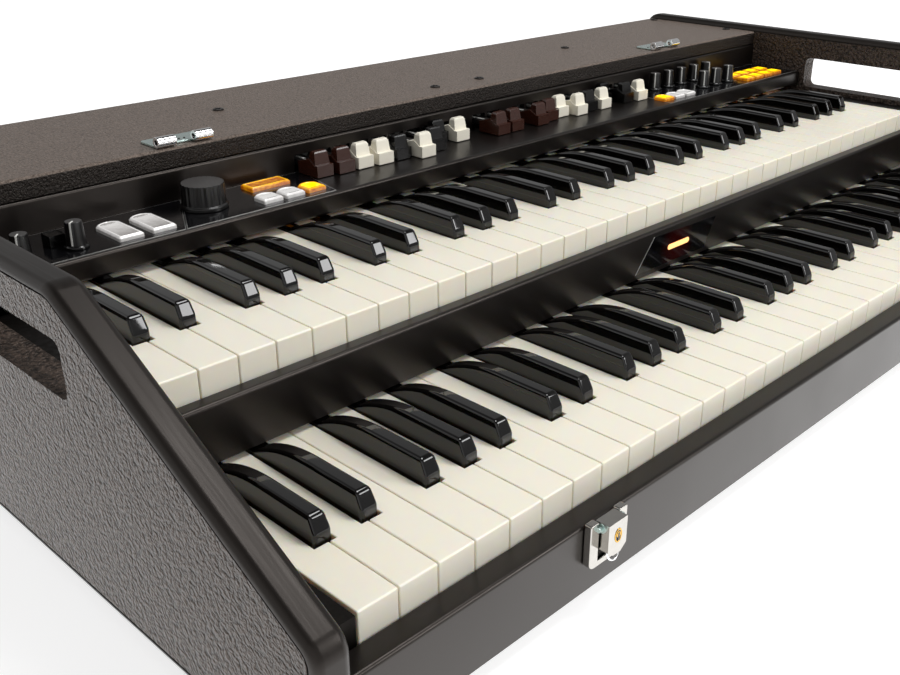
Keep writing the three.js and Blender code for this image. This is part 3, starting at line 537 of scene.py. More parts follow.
gloss_black, tree, shader = finish_of("gloss_black_abs", "#050404", Roughness=0.06)
cloud = grain(tree, 60 * MM, detail=0.0)
tint(tree, shader, cloud.outputs["Fac"], "#050404", "#080706")
vary(tree, shader, cloud.outputs["Fac"], 0.05, 0.07)
print("key plastics:", ivory.name, gloss_black.name)

# %% [markdown]
# Drawbar caps are moulded in three colours of the same plastic, a little softer in shine than the
# keys because fingers wear them. One function makes the family of moulded plastics.

# %% Moulded plastics
def moulded(name, first, second, roughness, size=0.6 * MM, depth=0.012 * MM):
    """Injection moulded plastic with a fine spark-eroded surface."""
    material, tree, shader = finish_of(name, first, Roughness=roughness)
    speck = grain(tree, size)
    tint(tree, shader, speck.outputs["Fac"], first, second)
    bump(tree, shader, speck.outputs["Fac"], depth)
    vary(tree, shader, speck.outputs["Fac"], roughness - 0.03, roughness + 0.03)
    return material


brown_plastic = moulded("brown_drawbar_plastic", "#33180f", "#3c1d13", 0.2)
white_plastic = moulded("ivory_drawbar_plastic", "#f4efe0", "#eee8d7", 0.34)
black_plastic = moulded("black_drawbar_plastic", "#060505", "#0a0909", 0.18)
knob_plastic = moulded("matt_knob_plastic", "#0a0909", "#100e0e", 0.32)
# painted reflection: the lighter grey of the knob tops stands for the bright room mirrored in them
knob_top_reflection_paint = moulded("knob_top_painted_reflection", "#3b3938", "#444241", 0.5)
skirt_plastic = moulded("gloss_skirt_plastic", "#070707", "#0a0a0a", 0.16)
print_white = moulded("white_print", "#e2e2dd", "#d6d6d1", 0.5)
panel_gloss = moulded("gloss_black_panel", "#08080a", "#0b0b0d", 0.14)
guide_plastic = moulded("grey_guide_plastic", "#565654", "#60605e", 0.55)
inlet_plastic = moulded("black_inlet_plastic", "#0d0d0d", "#131313", 0.45)
rubber = moulded("black_rubber", "#161514", "#1e1d1c", 0.8)
board_green = moulded("solder_mask", "#1f5136", "#19452e", 0.4)
print("moulded plastics: 12")

# %% [markdown]
# Metal parts are plated. Chrome is a clear mirror, the latches' nickel is a little duller and zinc
# has a green tint from its passivation. The small screws are black oxide.

# %% Metals
def metal(name, first, second, roughness, size=4 * MM):
    """Plated or bare metal, whose roughness wanders a little."""
    material, tree, shader = finish_of(name, first, Metallic=1.0, Roughness=roughness)
    cloud = grain(tree, size)
    tint(tree, shader, cloud.outputs["Fac"], first, second)
    vary(tree, shader, cloud.outputs["Fac"], roughness * 0.8, roughness * 1.2)
    return material


chrome = metal("bright_chrome", "#e2e2e2", "#d9d9d9", 0.1)
nickel = metal("latch_nickel", "#aca9a4", "#a19e99", 0.16)
zinc = metal("clear_zinc_plate", "#bfcfcb", "#a9bcb8", 0.26)
brass = metal("lock_brass", "#c9a04a", "#b58d3c", 0.22)
silver_line = metal("bright_panel_edge", "#d6d6d4", "#c4c4c2", 0.35)
screw_black = metal("black_oxide_steel", "#3a3634", "#2a2725", 0.38)
chassis_metal = metal("black_anodised_aluminium", "#2b2826", "#22201e", 0.5)
print("metals: 7")

# %% [markdown]
# Lit plastic glows where its lamp is. Each cap stores that as a number per corner named glow, and
# the shader turns it into colour and light, with a little haze so that it isn't even. The clear caps
# have no lamp: on them the same numbers paint a highlight on the rim and a glow in the middle.

# %% Lit and clear plastics
def lit_plastic(name, edge, core, edge_power, core_power):
    """Translucent plastic over a lamp. The piece's glow attribute is 1 over the lamp; on unlit caps it
    paints highlight and glow.
    """
    material, tree, shader = finish_of(name, edge, Roughness=0.16, Coat_Weight=0.5)
    glow = add_node(tree, "Attribute", attribute_name="glow")
    haze = grain(tree, 3.5 * MM)
    light = add_node(tree, "Math", {0: haze.outputs["Fac"], 1: 0.5, 2: glow.outputs["Fac"]},
                     operation="MULTIPLY_ADD")
    light = spread(tree, light.outputs[0], 0.0, 1.0, 0.2, 1.2)
    tint(tree, shader, light.outputs[0], edge, core)
    colour = shader.inputs["Base Color"].links[0].from_socket
    tree.links.new(colour, shader.inputs["Emission Color"])
    power = spread(tree, light.outputs[0], edge_power, core_power, 0.0, 1.0)
    tree.links.new(power.outputs[0], shader.inputs["Emission Strength"])
    return material


amber = lit_plastic("lit_amber_plastic", "#a8420e", "#ffd800", 0.25, 1.5)
# painted highlight and painted glow: clear caps have no lamp under them
clear = lit_plastic("clear_frosted_plastic_painted_glow", "#a5a19e", "#f6f4f2", 0.0, 0.1)
lamp_glow = lit_plastic("lit_lamp_film", "#ff7a36", "#ffd98c", 0.8, 1.0)

badge_film, tree, shader = finish_of("smoked_badge_film_painted_glow", "#060506", Roughness=0.12)
place = add_node(tree, "TexCoord")
away = add_node(tree, "VectorMath", {0: place.outputs["Object"],
                                     1: (0.004, -0.0966, 0.0865)}, operation="DISTANCE")
# painted glow: the plate itself emits a red haze round the lamp bar
painted_glow_halo = spread(tree, away.outputs["Value"], 0.014, 0.0, 8 * MM, 22 * MM)
shader.inputs["Emission Color"].default_value = linear("#ff2a10")
tree.links.new(painted_glow_halo.outputs[0], shader.inputs["Emission Strength"])
vary(tree, shader, grain(tree, 8 * MM).outputs["Fac"], 0.1, 0.14)
print("lit plastics:", amber.name, clear.name, lamp_glow.name, badge_film.name)

# %% [markdown]
# Each side panel is one plywood board. It starts as a block, a slope is cut off its front with a
# bisecting plane, the corners are rounded and the rims get the round moulding. The flat faces
# inside it get a narrow groove all round, which is the seam, and the hand slot is cut out last.

# %% Side panels
KNEE_DEPTH, FRONT_RISE = 180.3 * MM, 74.2 * MM  # where the slope starts and ends
CORNER_CUTS = {"toe": 8.4 * MM, "nose": 7.4 * MM, "knee": 5 * MM, "tail": 15 * MM}
EDGE_ROUND = 4.8 * MM
SEAM_WIDTH, SEAM_DEPTH = 0.9 * MM, 0.9 * MM
SLOT_LOW, SLOT_HIGH = (176.5 * MM, 114.1 * MM), (302.7 * MM, 144.6 * MM)
SLOT_ROUND = 6 * MM


def side_panel(side):
    low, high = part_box(f"{side}_side_panel")
    panel = block(f"{side}_side_board", low, high)
    knee = Vector((0, low.y + KNEE_DEPTH, high.z))
    nose = Vector((0, low.y, low.z + FRONT_RISE))
    slope = (knee - nose).normalized()
    select(panel, "FACE")
    bpy.ops.mesh.bisect(plane_co=knee, plane_no=(0, -slope.z, slope.y), use_fill=True, clear_outer=True)
    rest()
    corners = {
        "toe": [(low.y, low.z), (high.y, low.z)],
        "nose": [(nose.y, nose.z)],
        "knee": [(knee.y, knee.z)],
        "tail": [(high.y, high.z)],
    }
    for corner, places in corners.items():
        round_corners(panel, 0, places, CORNER_CUTS[corner], 6)
    bevel(panel, EDGE_ROUND, 6, lambda edge: len(edge.link_faces) == 2 and edge.calc_face_angle() > 1.2
          and (flat_at(edge, 0, low.x) or flat_at(edge, 0, high.x)))
    paint(panel, moulding_paint, case_paint)
    select(panel, "FACE", lambda face: abs(face.normal.x) > 0.9999 and face.calc_area() > 0.02)
    bpy.ops.mesh.inset(thickness=0.1 * MM, depth=-SEAM_DEPTH)
    bpy.ops.mesh.inset(thickness=SEAM_WIDTH, depth=0)
    bpy.ops.mesh.inset(thickness=0.1 * MM, depth=SEAM_DEPTH - 0.1 * MM)
    paint_selected(panel)
    y0, y1 = low.y + SLOT_LOW[0], low.y + SLOT_HIGH[0]
    z0, z1 = low.z + SLOT_LOW[1], low.z + SLOT_HIGH[1]
    reach = 5 * MM
    slot = block("slot_cutter", (low.x - reach, y0, z0), (high.x + reach, y1, z1))
    round_corners(slot, 0, [(y0, z0), (y0, z1), (y1, z0), (y1, z1)], SLOT_ROUND, 6)
    paint(slot, moulding_paint, case_paint)
    select(slot, "FACE")
    paint_selected(slot)
    cut(panel, slot)
    select(panel, "FACE", lambda face: abs(face.normal.x) > 0.9999)
    bpy.ops.mesh.quads_convert_to_tris(quad_method="BEAUTY", ngon_method="BEAUTY")
    rest()
    shade(panel, 32)
    dress(panel, "case", "textured_case", stands_for=[f"{side}_side_panel"])
    return panel


boards = [side_panel(side) for side in ("left", "right")]
print("side panels:", [(board.name, len(board.data.polygons)) for board in boards])

# %% [markdown]
# The top cover is a board of the same plywood with a softly rounded front edge. Its upright faces
# get a darker copy of the paint, painted shade for the light they miss. Small countersunk screws hold it
# down.

# %% Top cover and its screws
low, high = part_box("top_cover")
cover = block("top_cover_board", low, high)
round_corners(cover, 0, [(low.y, high.z), (high.y, high.z)], 2.4 * MM, 4)
soften(cover, 0.8 * MM, 2)
paint(cover, cover_paint, cover_painted_shade)
# painted shade: faces that don't face up get the darker copy
select(cover, "FACE", lambda face: face.normal.z < 0.35)
paint_selected(cover)
dress(cover, "case", "textured_case", stands_for=["top_cover"])
COVER_TOP = high.z
COVER_SCREWS = [(-204, 184.7), (204, 184.7), (-26.4, 133.7), (26.4, 133.7),
                (-435, 140.7), (-435, 240), (435, 140.7), (435, 240)]


def screw(radius):
    """A countersunk screw head round the Z axis: a low dome with a cross recess."""
    head = rod(radius, 2.4 * MM)
    bevel(head, 0.9 * MM, 3, lambda edge: flat_at(edge, 2, 1.2 * MM))
    for size in ((0.7, 0.16), (0.16, 0.7)):
        half_x, half_y = size[0] * radius, size[1] * radius
        cut(head, block("recess", (-half_x, -half_y, 0), (half_x, half_y, 3 * MM)))
    shade(head)
    return head


model = screw(4.2 * MM)
heads = [copy_of(model, "cover_screw", (x * MM, y * MM, COVER_TOP)) for x, y in COVER_SCREWS]
dress(join(heads, "cover_screws"), "case", "chrome", screw_black)
low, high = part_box("rear_panel")
model.data.transform(Matrix.Rotation(-math.pi / 2, 4, "X"))
REAR_SCREWS = [(x, z) for x in (-430, -215, 0, 215, 430) for z in (32, 152)]
heads = [copy_of(model, "rear_screw", (x * MM, high.y - 0.4 * MM, z * MM)) for x, z in REAR_SCREWS]
dress(join(heads, "rear_screws"), "case", "chrome", screw_black)
remove(model)
print("screws:", len(COVER_SCREWS) + len(REAR_SCREWS))

# %% [markdown]
# The bottom board is a plain board on four rubber feet. A foot is turned: half of its outline is
# drawn and spun round its axis.

# %% Bottom board and feet
low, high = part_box("bottom_board")
BOARD_UNDER = 10 * MM
board = block("bottom_board_sheet", (low.x, low.y, BOARD_UNDER), high)
soften(board, 0.8 * MM, 2)
dress(board, "case", "textured_case", case_paint, stands_for=["bottom_board"])
foot = spun("rubber_foot", [(r * MM, h * MM) for r, h in
            [(0, 1.2), (8, 1.2), (8, 0), (13, 0), (15.2, 1.4), (16, 10.4), (0, 10.4)]], 32)
soften(foot, 0.5 * MM, 2)
inset = 55 * MM
places = [(x, y) for x in (low.x + inset, high.x - inset) for y in (low.y + inset, high.y - inset)]
feet = [copy_of(foot, "rubber_foot", (x, y, 0)) for x, y in places]
remove(foot)
dress(join(feet, "rubber_feet"), "case", "inlet_plastic", rubber)
print("feet:", [(round(x / MM), round(y / MM)) for x, y in places])

# %% [markdown]
# The apron, the fascia and the control shelf are each one sheet of steel, folded on a brake. The
# outer side is a chain of points, the inner side lies one thickness further in, and the outline is
# pulled out along the case. Every fold gets the radius of the brake.

# %% Folded sheets
SHEET = 2 * MM
FOLD = 2.3 * MM


def folded_sheet(name, points, width):
    """A sheet whose outer side follows points of y and z."""
    outer = [Vector(point) for point in points]
    steps = [(b - a).normalized() for a, b in zip(outer, outer[1:])]
    inward = [Vector((step.y, -step.x)) * SHEET for step in steps]
    shifts = [inward[0], *[a + b for a, b in zip(inward, inward[1:])], inward[-1]]
    inner = [point + shift for point, shift in zip(outer, shifts)]
    made = prism(name, [*outer, *reversed(inner)], 0, -width / 2, width / 2)
    turns = [a.x * b.y - a.y * b.x for a, b in zip(steps, steps[1:])]
    folds = [outer[i + 1] if turn < 0 else inner[i + 1] for i, turn in enumerate(turns)]
    round_corners(made, 0, folds, FOLD, 5)
    return made


low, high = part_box("front_apron")
width = high.x - low.x
apron = folded_sheet("front_apron_sheet", [(low.y, low.z), (low.y, high.z), (high.y, high.z)], width)
soften(apron, 0.2 * MM, 2)
dress(apron, "case", "satin_black_metal", sheet_paint, stands_for=["front_apron"])
low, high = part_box("middle_fascia")
fascia = folded_sheet("middle_fascia_sheet", [(low.y, low.z), (low.y, high.z), (high.y, high.z)], width)
soften(fascia, 0.2 * MM, 2)
dress(fascia, "case", "satin_black_metal", sheet_paint, stands_for=["middle_fascia"])
FASCIA_FACE = low.y
print("folded sheets:", apron.name, fascia.name)

# %% [markdown]
# The control shelf is the third sheet. Openings for the drawbars are punched in its riser, and for
# the buttons, rockers and shafts in its shelf. All the punches are joined and cut out at once.

# %% Control shelf
low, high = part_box("control_panel")
SHELF_DEPTH, LIP_DROP = 59.5 * MM, 14.6 * MM
LIP_Y, SHELF_Z = low.y, low.z + LIP_DROP
RISER_Y = LIP_Y + SHELF_DEPTH
points = [(LIP_Y + 8 * MM, low.z), (LIP_Y, low.z), (LIP_Y, SHELF_Z), (RISER_Y, SHELF_Z),
          (RISER_Y, high.z), (high.y, high.z)]
shelf = folded_sheet("control_shelf_sheet", points, width)
soften(shelf, 0.2 * MM, 2)
BANKS = {"left_drawbar": 9, "pedal_drawbar": 2, "right_drawbar": 9}
DRAWBARS = [f"{bank}_{i + 1}" for bank, count in BANKS.items() for i in range(count)]
KNOB_ROWS = {"left_knob": 2, "rear_knob": 5, "front_knob": 3}
KNOBS = [f"{row}_{i + 1}" for row, count in KNOB_ROWS.items() for i in range(count)]
BUTTON_WIDTH, BUTTON_DEPTH, BUTTON_PITCH, BUTTON_BOW = 15.7 * MM, 16.5 * MM, 18.1 * MM, 4 * MM
WIDE_WIDTH, WIDE_DEPTH = 32.5 * MM, 14.5 * MM
PRESET_DEPTH, PRESET_PITCH = 13.6 * MM, 18.2 * MM
CARRIER_EDGE = 2.5 * MM
ROCKER_BOW = 4.8 * MM
PUNCH_LOW, PUNCH_HIGH = SHELF_Z - 6 * MM, SHELF_Z + 4 * MM


def centre_of(node):
    low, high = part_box(node)
    return (low + high) / 2


def cap_plan(x, y, width, depth, bow, steps=14):
    """A plan with straight front and sides, and a rear edge that bows out by a given height."""
    half, back = width / 2, y + depth / 2
    plan = [(x - half, y - depth / 2), (x + half, y - depth / 2)]
    if bow == 0:
        return [*plan, (x + half, back), (x - half, back)]
    radius = (half ** 2 + bow ** 2) / (2 * bow)
    spread_angle = math.asin(half / radius)
    for k in range(steps + 1):
        angle = spread_angle * (1 - 2 * k / steps)
        plan.append((x + radius * math.sin(angle), back - radius * (1 - math.cos(angle))))
    return plan


CAPS = []  # name, node, x, y, width, depth, bow, finish
BUTTON_ROWS = {"left": ("clear", "clear", "amber"), "right": ("amber", "clear", "clear")}
for side, kinds in BUTTON_ROWS.items():
    low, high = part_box(f"{side}_buttons")
    x0, row_y = low.x + CARRIER_EDGE + BUTTON_WIDTH / 2, low.y + CARRIER_EDGE + BUTTON_DEPTH / 2
    for i, kind in enumerate(kinds):
        CAPS.append((f"{side}_button_{i + 1}", f"{side}_buttons", x0 + i * BUTTON_PITCH, row_y,
                     BUTTON_WIDTH, BUTTON_DEPTH, BUTTON_BOW, kind))
    if side == "left":
        CAPS.append(("left_wide_button", "left_buttons", x0 + BUTTON_PITCH,
                     high.y - CARRIER_EDGE - WIDE_DEPTH / 2, WIDE_WIDTH, WIDE_DEPTH, 0, "amber"))
low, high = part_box("preset_buttons")
x0 = low.x + CARRIER_EDGE + BUTTON_WIDTH / 2
for row, y in enumerate((low.y + CARRIER_EDGE + PRESET_DEPTH / 2, high.y - CARRIER_EDGE - PRESET_DEPTH / 2)):
    for i in range(4):
        CAPS.append((f"preset_button_{4 * row + i + 1}", "preset_buttons", x0 + i * PRESET_PITCH, y,
                     BUTTON_WIDTH, PRESET_DEPTH, 0, "amber"))
for name in ("rocker_1", "rocker_2"):
    low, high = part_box(name)
    centre = (low + high) / 2
    CAPS.append((f"{name}_cap", name, centre.x, centre.y, high.x - low.x, high.y - low.y,
                 ROCKER_BOW, "clear"))

punches = []
for name in DRAWBARS:
    centre, low = centre_of(name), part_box(name)[0]
    half = 7.75 * MM
    punches.append(block("punch", (centre.x - half, RISER_Y - 5 * MM, low.z - 0.3 * MM),
                         (centre.x + half, RISER_Y + 7 * MM, low.z + 12.2 * MM)))
for name, node, x, y, cap_width, cap_depth, bow, kind in CAPS:
    side, end = (0.35, 0.9) if "rocker" in node else (0.35, 0.35)
    plan = cap_plan(x, y, cap_width + 2 * side * MM, cap_depth + 2 * end * MM, bow)
    punches.append(prism("punch", plan, 2, PUNCH_LOW, PUNCH_HIGH))
for name in [*KNOBS, "large_knob"]:
    centre = centre_of(name)
    punches.append(rod(3.5 * MM, 10 * MM, (centre.x, centre.y, SHELF_Z), vertices=20))
centre = centre_of("slide_switch")
half = 2.45 * MM
punches.append(block("punch", (centre.x - half, centre.y - half, PUNCH_LOW),
                     (centre.x + half, centre.y + half + 5 * MM, PUNCH_HIGH)))
punch = join(punches, "punches")
cut(shelf, copy_of(punch, "shelf_punch"))
shade(shelf, 35)
dress(shelf, "case", "satin_black_metal", sheet_paint, stands_for=["control_panel"])
print("control shelf:", len(shelf.data.polygons), "faces, caps:", len(CAPS))

# %% [markdown]
# Thin glossy panels cover the ends of the shelf. Two meet in a slanted joint at the left, and each
# one's edge is polished bright. The punches of the shelf go through them as well.

# %% Glossy panels
PANEL_THICK = 0.25 * MM
PANEL_FRONT, PANEL_BACK = LIP_Y + 3.2 * MM, RISER_Y - 0.6 * MM
PANELS = {  # left and right ends, at the front and at the back
    "left_end_panel": (-445.2, -445.2, -317.4, -287.4),
    "left_button_panel": (-316.8, -286.8, -199.0, -188.0),
    "right_panel": (204.0, 215.0, 445.2, 445.2),
}
LINE = 0.6 * MM


def quad(front_left, back_left, front_right, back_right):
    return [(front_left * MM, PANEL_FRONT), (front_right * MM, PANEL_FRONT),
            (back_right * MM, PANEL_BACK), (back_left * MM, PANEL_BACK)]


for name, ends in PANELS.items():
    plate = prism(name, quad(*ends), 2, SHELF_Z, SHELF_Z + PANEL_THICK)
    select(plate, "FACE", lambda face: face.normal.z > 0.9)
    bpy.ops.mesh.inset(thickness=LINE, depth=0)
    paint(plate, panel_gloss, silver_line)
    bpy.ops.mesh.select_all(action="INVERT")
    paint_selected(plate)
    cut(plate, copy_of(punch, "panel_punch"))
    shade(plate, 30)
    dress(plate, "case", "inlet_plastic")
remove(punch)
print("glossy panels:", len(PANELS))

# %% [markdown]
# Some working parts keep the shape that they have in the frame and only get a finish: the rear
# panel, the frames under the keys, the drawbar guide, the inlet and the main board.

# %% Parts that keep their shape
KEPT = {
    "rear_panel": sheet_paint,
    "drawbar_guide": guide_plastic,
    "lower_key_chassis": chassis_metal,
    "upper_key_chassis": chassis_metal,
    "mains_inlet": inlet_plastic,
    "main_board": board_green,
}
for name, material in KEPT.items():
    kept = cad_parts[name]
    kept.data.materials.clear()
    paint(kept, material)
centre = centre_of("mains_inlet")
inlet_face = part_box("mains_inlet")[1].y
blades = []
for x, z in ((-7, 0), (0, 2), (7, 0)):
    place = Vector((centre.x + x * MM, inlet_face - 14.8 * MM, centre.z + z * MM))
    half = Vector((1.1, 4.6, 2.1)) * MM
    blades.append(block("blade", place - half, place + half))
blades = join(blades, "inlet_blades")
soften(blades, 0.3 * MM, 2)
dress(blades, "case", "chrome", zinc)
print("kept:", len(KEPT), "parts")

# %% [markdown]
# A white key is a long ivory cap with a square lip in front. Behind its head it is cut away for
# the black keys beside it, so an octave has seven different keys. Each kind is modelled once, and
# each key of the manual is a copy of its kind.

# %% White keys
PITCH = 23.5 * MM
OCTAVE = 7 * PITCH
BLACK_PLACES = [share * OCTAVE for share in (0.1297, 0.2989, 0.5517, 0.7143, 0.8769)]
KEY_GAP = 0.7 * MM
HEAD = 47.6 * MM
KEY_THICK, LIP_HEIGHT, LIP_WALL = 14 * MM, 20 * MM, 3 * MM
BLACK_SLOT = 12.6 * MM
keys_low, keys_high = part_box("lower_white_keys")
keys_left = keys_low.x - (PITCH - (keys_high.x - keys_low.x) % PITCH) / 2
KEY_TOP = keys_high.z


def white_key(place, cuts):
    """One white key of the lowest octave, with notches at the given black key places."""
    x0 = keys_left + place * PITCH + KEY_GAP / 2
    x1 = keys_left + (place + 1) * PITCH - KEY_GAP / 2
    key = block("white_key", (x0, keys_low.y, KEY_TOP - KEY_THICK), (x1, keys_high.y, KEY_TOP))
    select(key, "FACE")
    bpy.ops.mesh.bisect(plane_co=(0, keys_low.y + LIP_WALL, 0), plane_no=(0, 1, 0))
    select(key, "FACE", lambda face: near(middle(face).z, KEY_TOP - KEY_THICK)
           and middle(face).y < keys_low.y + LIP_WALL)
    bpy.ops.mesh.extrude_region_move(
        TRANSFORM_OT_translate={"value": (0, 0, KEY_THICK - LIP_HEIGHT)})
    rest()
    for centre in cuts:
        x = keys_left + centre
        cut(key, block("notch", (x - BLACK_SLOT / 2, keys_low.y + HEAD, KEY_TOP - 2 * LIP_HEIGHT),
                       (x + BLACK_SLOT / 2, keys_high.y + PITCH, KEY_TOP + PITCH)))
    round_corners(key, 0, [(keys_low.y, KEY_TOP)], 1.1 * MM, 4)
    soften(key, 0.7 * MM, 3)
    return key


def notches(place):
    """The black keys that reach over a white key of the octave."""
    reach = BLACK_SLOT / 2
    return [x for x in BLACK_PLACES if place * PITCH - reach < x < (place + 1) * PITCH + reach]


white_kinds = [white_key(place, notches(place)) for place in range(7)]
last_kind = white_key(0, [])
whites = [copy_of(white_kinds[i % 7], "white_key", (i // 7 * OCTAVE, 0, 0)) for i in range(35)]
whites.append(copy_of(last_kind, "white_key", (5 * OCTAVE, 0, 0)))
remove(last_kind, *white_kinds)
lower_whites = join(whites, "lower_white_key_caps")
print("white keys:", len(whites), "faces:", len(lower_whites.data.polygons))

# %% [markdown]
# A black key has a short upright foot, a sloped facet that players see from above, a flat top that
# narrows a little, and a rear end that falls away in an arc under the fascia. The block is cut
# across where its shape changes, and the corners at each cut are then moved into place.

# %% Black keys
BLACK_WIDTH, BLACK_TOP_WIDTH = 11 * MM, 9.2 * MM
BLACK_RISE, PLINTH, FACET = 13.6 * MM, 4.6 * MM, 4.8 * MM
GRIP_END, FALL_END, TAIL = 92 * MM, 136 * MM, 2.4 * MM
FALL_STEPS = 7
blacks_low, blacks_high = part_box("lower_black_keys")


def black_key():
    """One black key whose middle is at x = 0."""
    front, top = blacks_low.y, KEY_TOP + BLACK_RISE
    half = BLACK_WIDTH / 2
    key = block("black_key", (-half, front, blacks_low.z), (half, blacks_high.y, top))
    run, drop = FALL_END - GRIP_END, BLACK_RISE - TAIL
    radius = (run ** 2 + drop ** 2) / (2 * drop)
    stations = [k * run / FALL_STEPS for k in range(FALL_STEPS + 1)]
    for gone in stations:
        select(key, "FACE")
        bpy.ops.mesh.bisect(plane_co=(0, keys_low.y + GRIP_END + gone, 0), plane_no=(0, 1, 0))
    select(key, "VERT", lambda v: near(v.co.z, top) and near(v.co.y, front))
    bpy.ops.transform.translate(value=(0, 0, PLINTH - BLACK_RISE))
    select(key, "FACE")
    bpy.ops.mesh.bisect(plane_co=(0, front + FACET, 0), plane_no=(0, 1, 0))
    select(key, "VERT", lambda v: v.co.z > KEY_TOP + MM and near(v.co.y, front + FACET))
    bpy.ops.transform.resize(value=(1, 1, 0), center_override=(0, 0, top))
    for gone in stations[1:]:
        sag = radius - math.sqrt(radius ** 2 - gone ** 2)
        select(key, "VERT", lambda v: near(v.co.z, top)
               and near(v.co.y, keys_low.y + GRIP_END + gone))
        bpy.ops.transform.translate(value=(0, 0, -sag))
    select(key, "VERT", lambda v: near(v.co.z, top) and near(v.co.y, blacks_high.y))
    bpy.ops.transform.translate(value=(0, 0, TAIL - BLACK_RISE))
    rest()
    for corner in key.data.vertices:
        rise = corner.co.z - KEY_TOP
        if rise > 0:
            corner.co.x *= 1 - (1 - BLACK_TOP_WIDTH / BLACK_WIDTH) * rise / BLACK_RISE
    soften(key, 2.1 * MM, 5, angle=20)
    return key


first = black_key()
blacks = [copy_of(first, "black_key", (keys_left + octave * OCTAVE + x, 0, 0))
          for octave in range(5) for x in BLACK_PLACES]
remove(first)
lower_blacks = join(blacks, "lower_black_key_caps")
upper_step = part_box("upper_white_keys")[0] - keys_low
upper_whites = copy_of(lower_whites, "upper_white_key_caps", upper_step)
upper_blacks = copy_of(lower_blacks, "upper_black_key_caps", upper_step)
for made, manual in ((lower_whites, "lower"), (upper_whites, "upper")):
    dress(made, f"{manual}_white_keys", "ivory_keys", ivory, stands_for=[f"{manual}_white_keys"])
for made, manual in ((lower_blacks, "lower"), (upper_blacks, "upper")):
    dress(made, f"{manual}_black_keys", "black_keys", gloss_black, stands_for=[f"{manual}_black_keys"])
print("black keys:", len(blacks), "faces:", len(lower_blacks.data.polygons))

# %% [markdown]
# A drawbar cap is a low block with a domed finger on it, moulded in one piece and pushed onto a
# flat stem. The body is a block whose top is lifted in the middle and falls to its heel. The
# finger is pulled out of a second block in two steps that draw in, and the two are joined.

# %% Drawbars
CAP_WIDTH, CAP_DEPTH = 14.6 * MM, 22.5 * MM
TOE, SPINE, HEEL, FINGER_TOP = 8.6 * MM, 12.2 * MM, 8.8 * MM, 18 * MM
FINGER_FRONT, FINGER_BACK, FINGER_LEAN = 3.2 * MM, 11.2 * MM, 1.2 * MM
FINGER_BASE, FINGER_CROWN = 13.2 * MM, 11.8 * MM
STEM_WIDTH, STEM_THICK, STEM_LENGTH = 12 * MM, 3.5 * MM, 72 * MM
TICK_STEP, TICK_COUNT = 2 * MM, 16


def drawbar_cap():
    """A cap whose front foot is at the origin."""
    half = CAP_WIDTH / 2
    cap = block("drawbar_cap", (-half, 0, 0), (half, CAP_DEPTH, TOE))
    for y in (3.5 * MM, 10 * MM):
        select(cap, "FACE")
        bpy.ops.mesh.bisect(plane_co=(0, y, 0), plane_no=(0, 1, 0))
    for y, lift in ((10 * MM, SPINE - TOE), (CAP_DEPTH, HEEL - TOE)):
        select(cap, "VERT", lambda v: near(v.co.z, TOE) and near(v.co.y, y))
        bpy.ops.transform.translate(value=(0, 0, lift))
    rest()
    finger = block("finger", (-FINGER_BASE / 2, FINGER_FRONT, TOE / 2),
                   (FINGER_BASE / 2, FINGER_BACK, TOE))
    shoulder = FINGER_TOP - 1.6 * MM
    depth = FINGER_BACK - FINGER_FRONT
    select(finger, "FACE", lambda face: near(middle(face).z, TOE))
    bpy.ops.mesh.extrude_region_move(TRANSFORM_OT_translate={"value": (0, 0, shoulder - TOE)})
    bpy.ops.transform.resize(value=(FINGER_CROWN / FINGER_BASE, (depth - 2 * FINGER_LEAN) / depth, 1))
    bpy.ops.mesh.extrude_region_move(TRANSFORM_OT_translate={"value": (0, 0, FINGER_TOP - shoulder)})
    bpy.ops.transform.resize(value=(0.84, 0.66, 1))
    rest()
    cut(cap, finger, "UNION")
    soften(cap, 0.6 * MM, 3, angle=25)
    return cap


def drawbar_stem():
    """The flat stem behind a cap, with a scale printed across it."""
    half = STEM_WIDTH / 2
    stem = block("stem", (-half, CAP_DEPTH - MM, HEEL - STEM_THICK),
                 (half, CAP_DEPTH + STEM_LENGTH, HEEL))
    soften(stem, 0.3 * MM, 2)
    paint(stem, knob_plastic)
    ticks = []
    for i in range(TICK_COUNT):
        y = CAP_DEPTH + (i + 1) * TICK_STEP
        tick = block("tick", (-1.2 * MM, y, HEEL - 0.1 * MM), (1.2 * MM, y + 0.9 * MM, HEEL + 0.06 * MM))
        bevel(tick, 0.02 * MM, 1, lambda edge: True)
        ticks.append(paint(tick, print_white))
    return join([stem, *ticks], "drawbar_stem")


cap_model = drawbar_cap()
stem_model = drawbar_stem()
CAP_FINISHES = {"brown": brown_plastic, "white": white_plastic, "black": black_plastic}
BANK_COLOURS = ["brown", "brown", "white", "white", "black", "white", "black", "black", "white"]
for name in DRAWBARS:
    low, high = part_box(name)
    place = Vector(((low.x + high.x) / 2, low.y, low.z))
    colour = BANK_COLOURS[int(name.split("_")[-1]) - 1]
    cap = copy_of(cap_model, f"{name}_cap", place)
    dress(cap, name, f"{colour}_cap", CAP_FINISHES[colour], stands_for=[name])
    stem = copy_of(stem_model, f"{name}_stem", place)
    dress(stem, name, "black_cap")
remove(cap_model, stem_model)
print("drawbars:", len(DRAWBARS))

# %% [markdown]
# A small knob is turned: a glossy skirt, then a matt body that narrows upwards. Its white pointer
# runs up the side and over the top. Most of them stand near the low end of their range, so each
# copy is turned by its own angle.

# %% Small knobs
KNOB_HEIGHT = 16.6 * MM


def top_finish(obj, body_finish, cap_finish):
    """Gives the flat top of a knob a duller finish, as fingers leave, whose lighter grey is a painted
    reflection.
    """
    paint(obj, body_finish, cap_finish)
    top = max(corner.co.z for corner in obj.data.vertices)
    select(obj, "FACE", lambda face: face.normal.z > 0.9 and near(middle(face).z, top))
    paint_selected(obj)


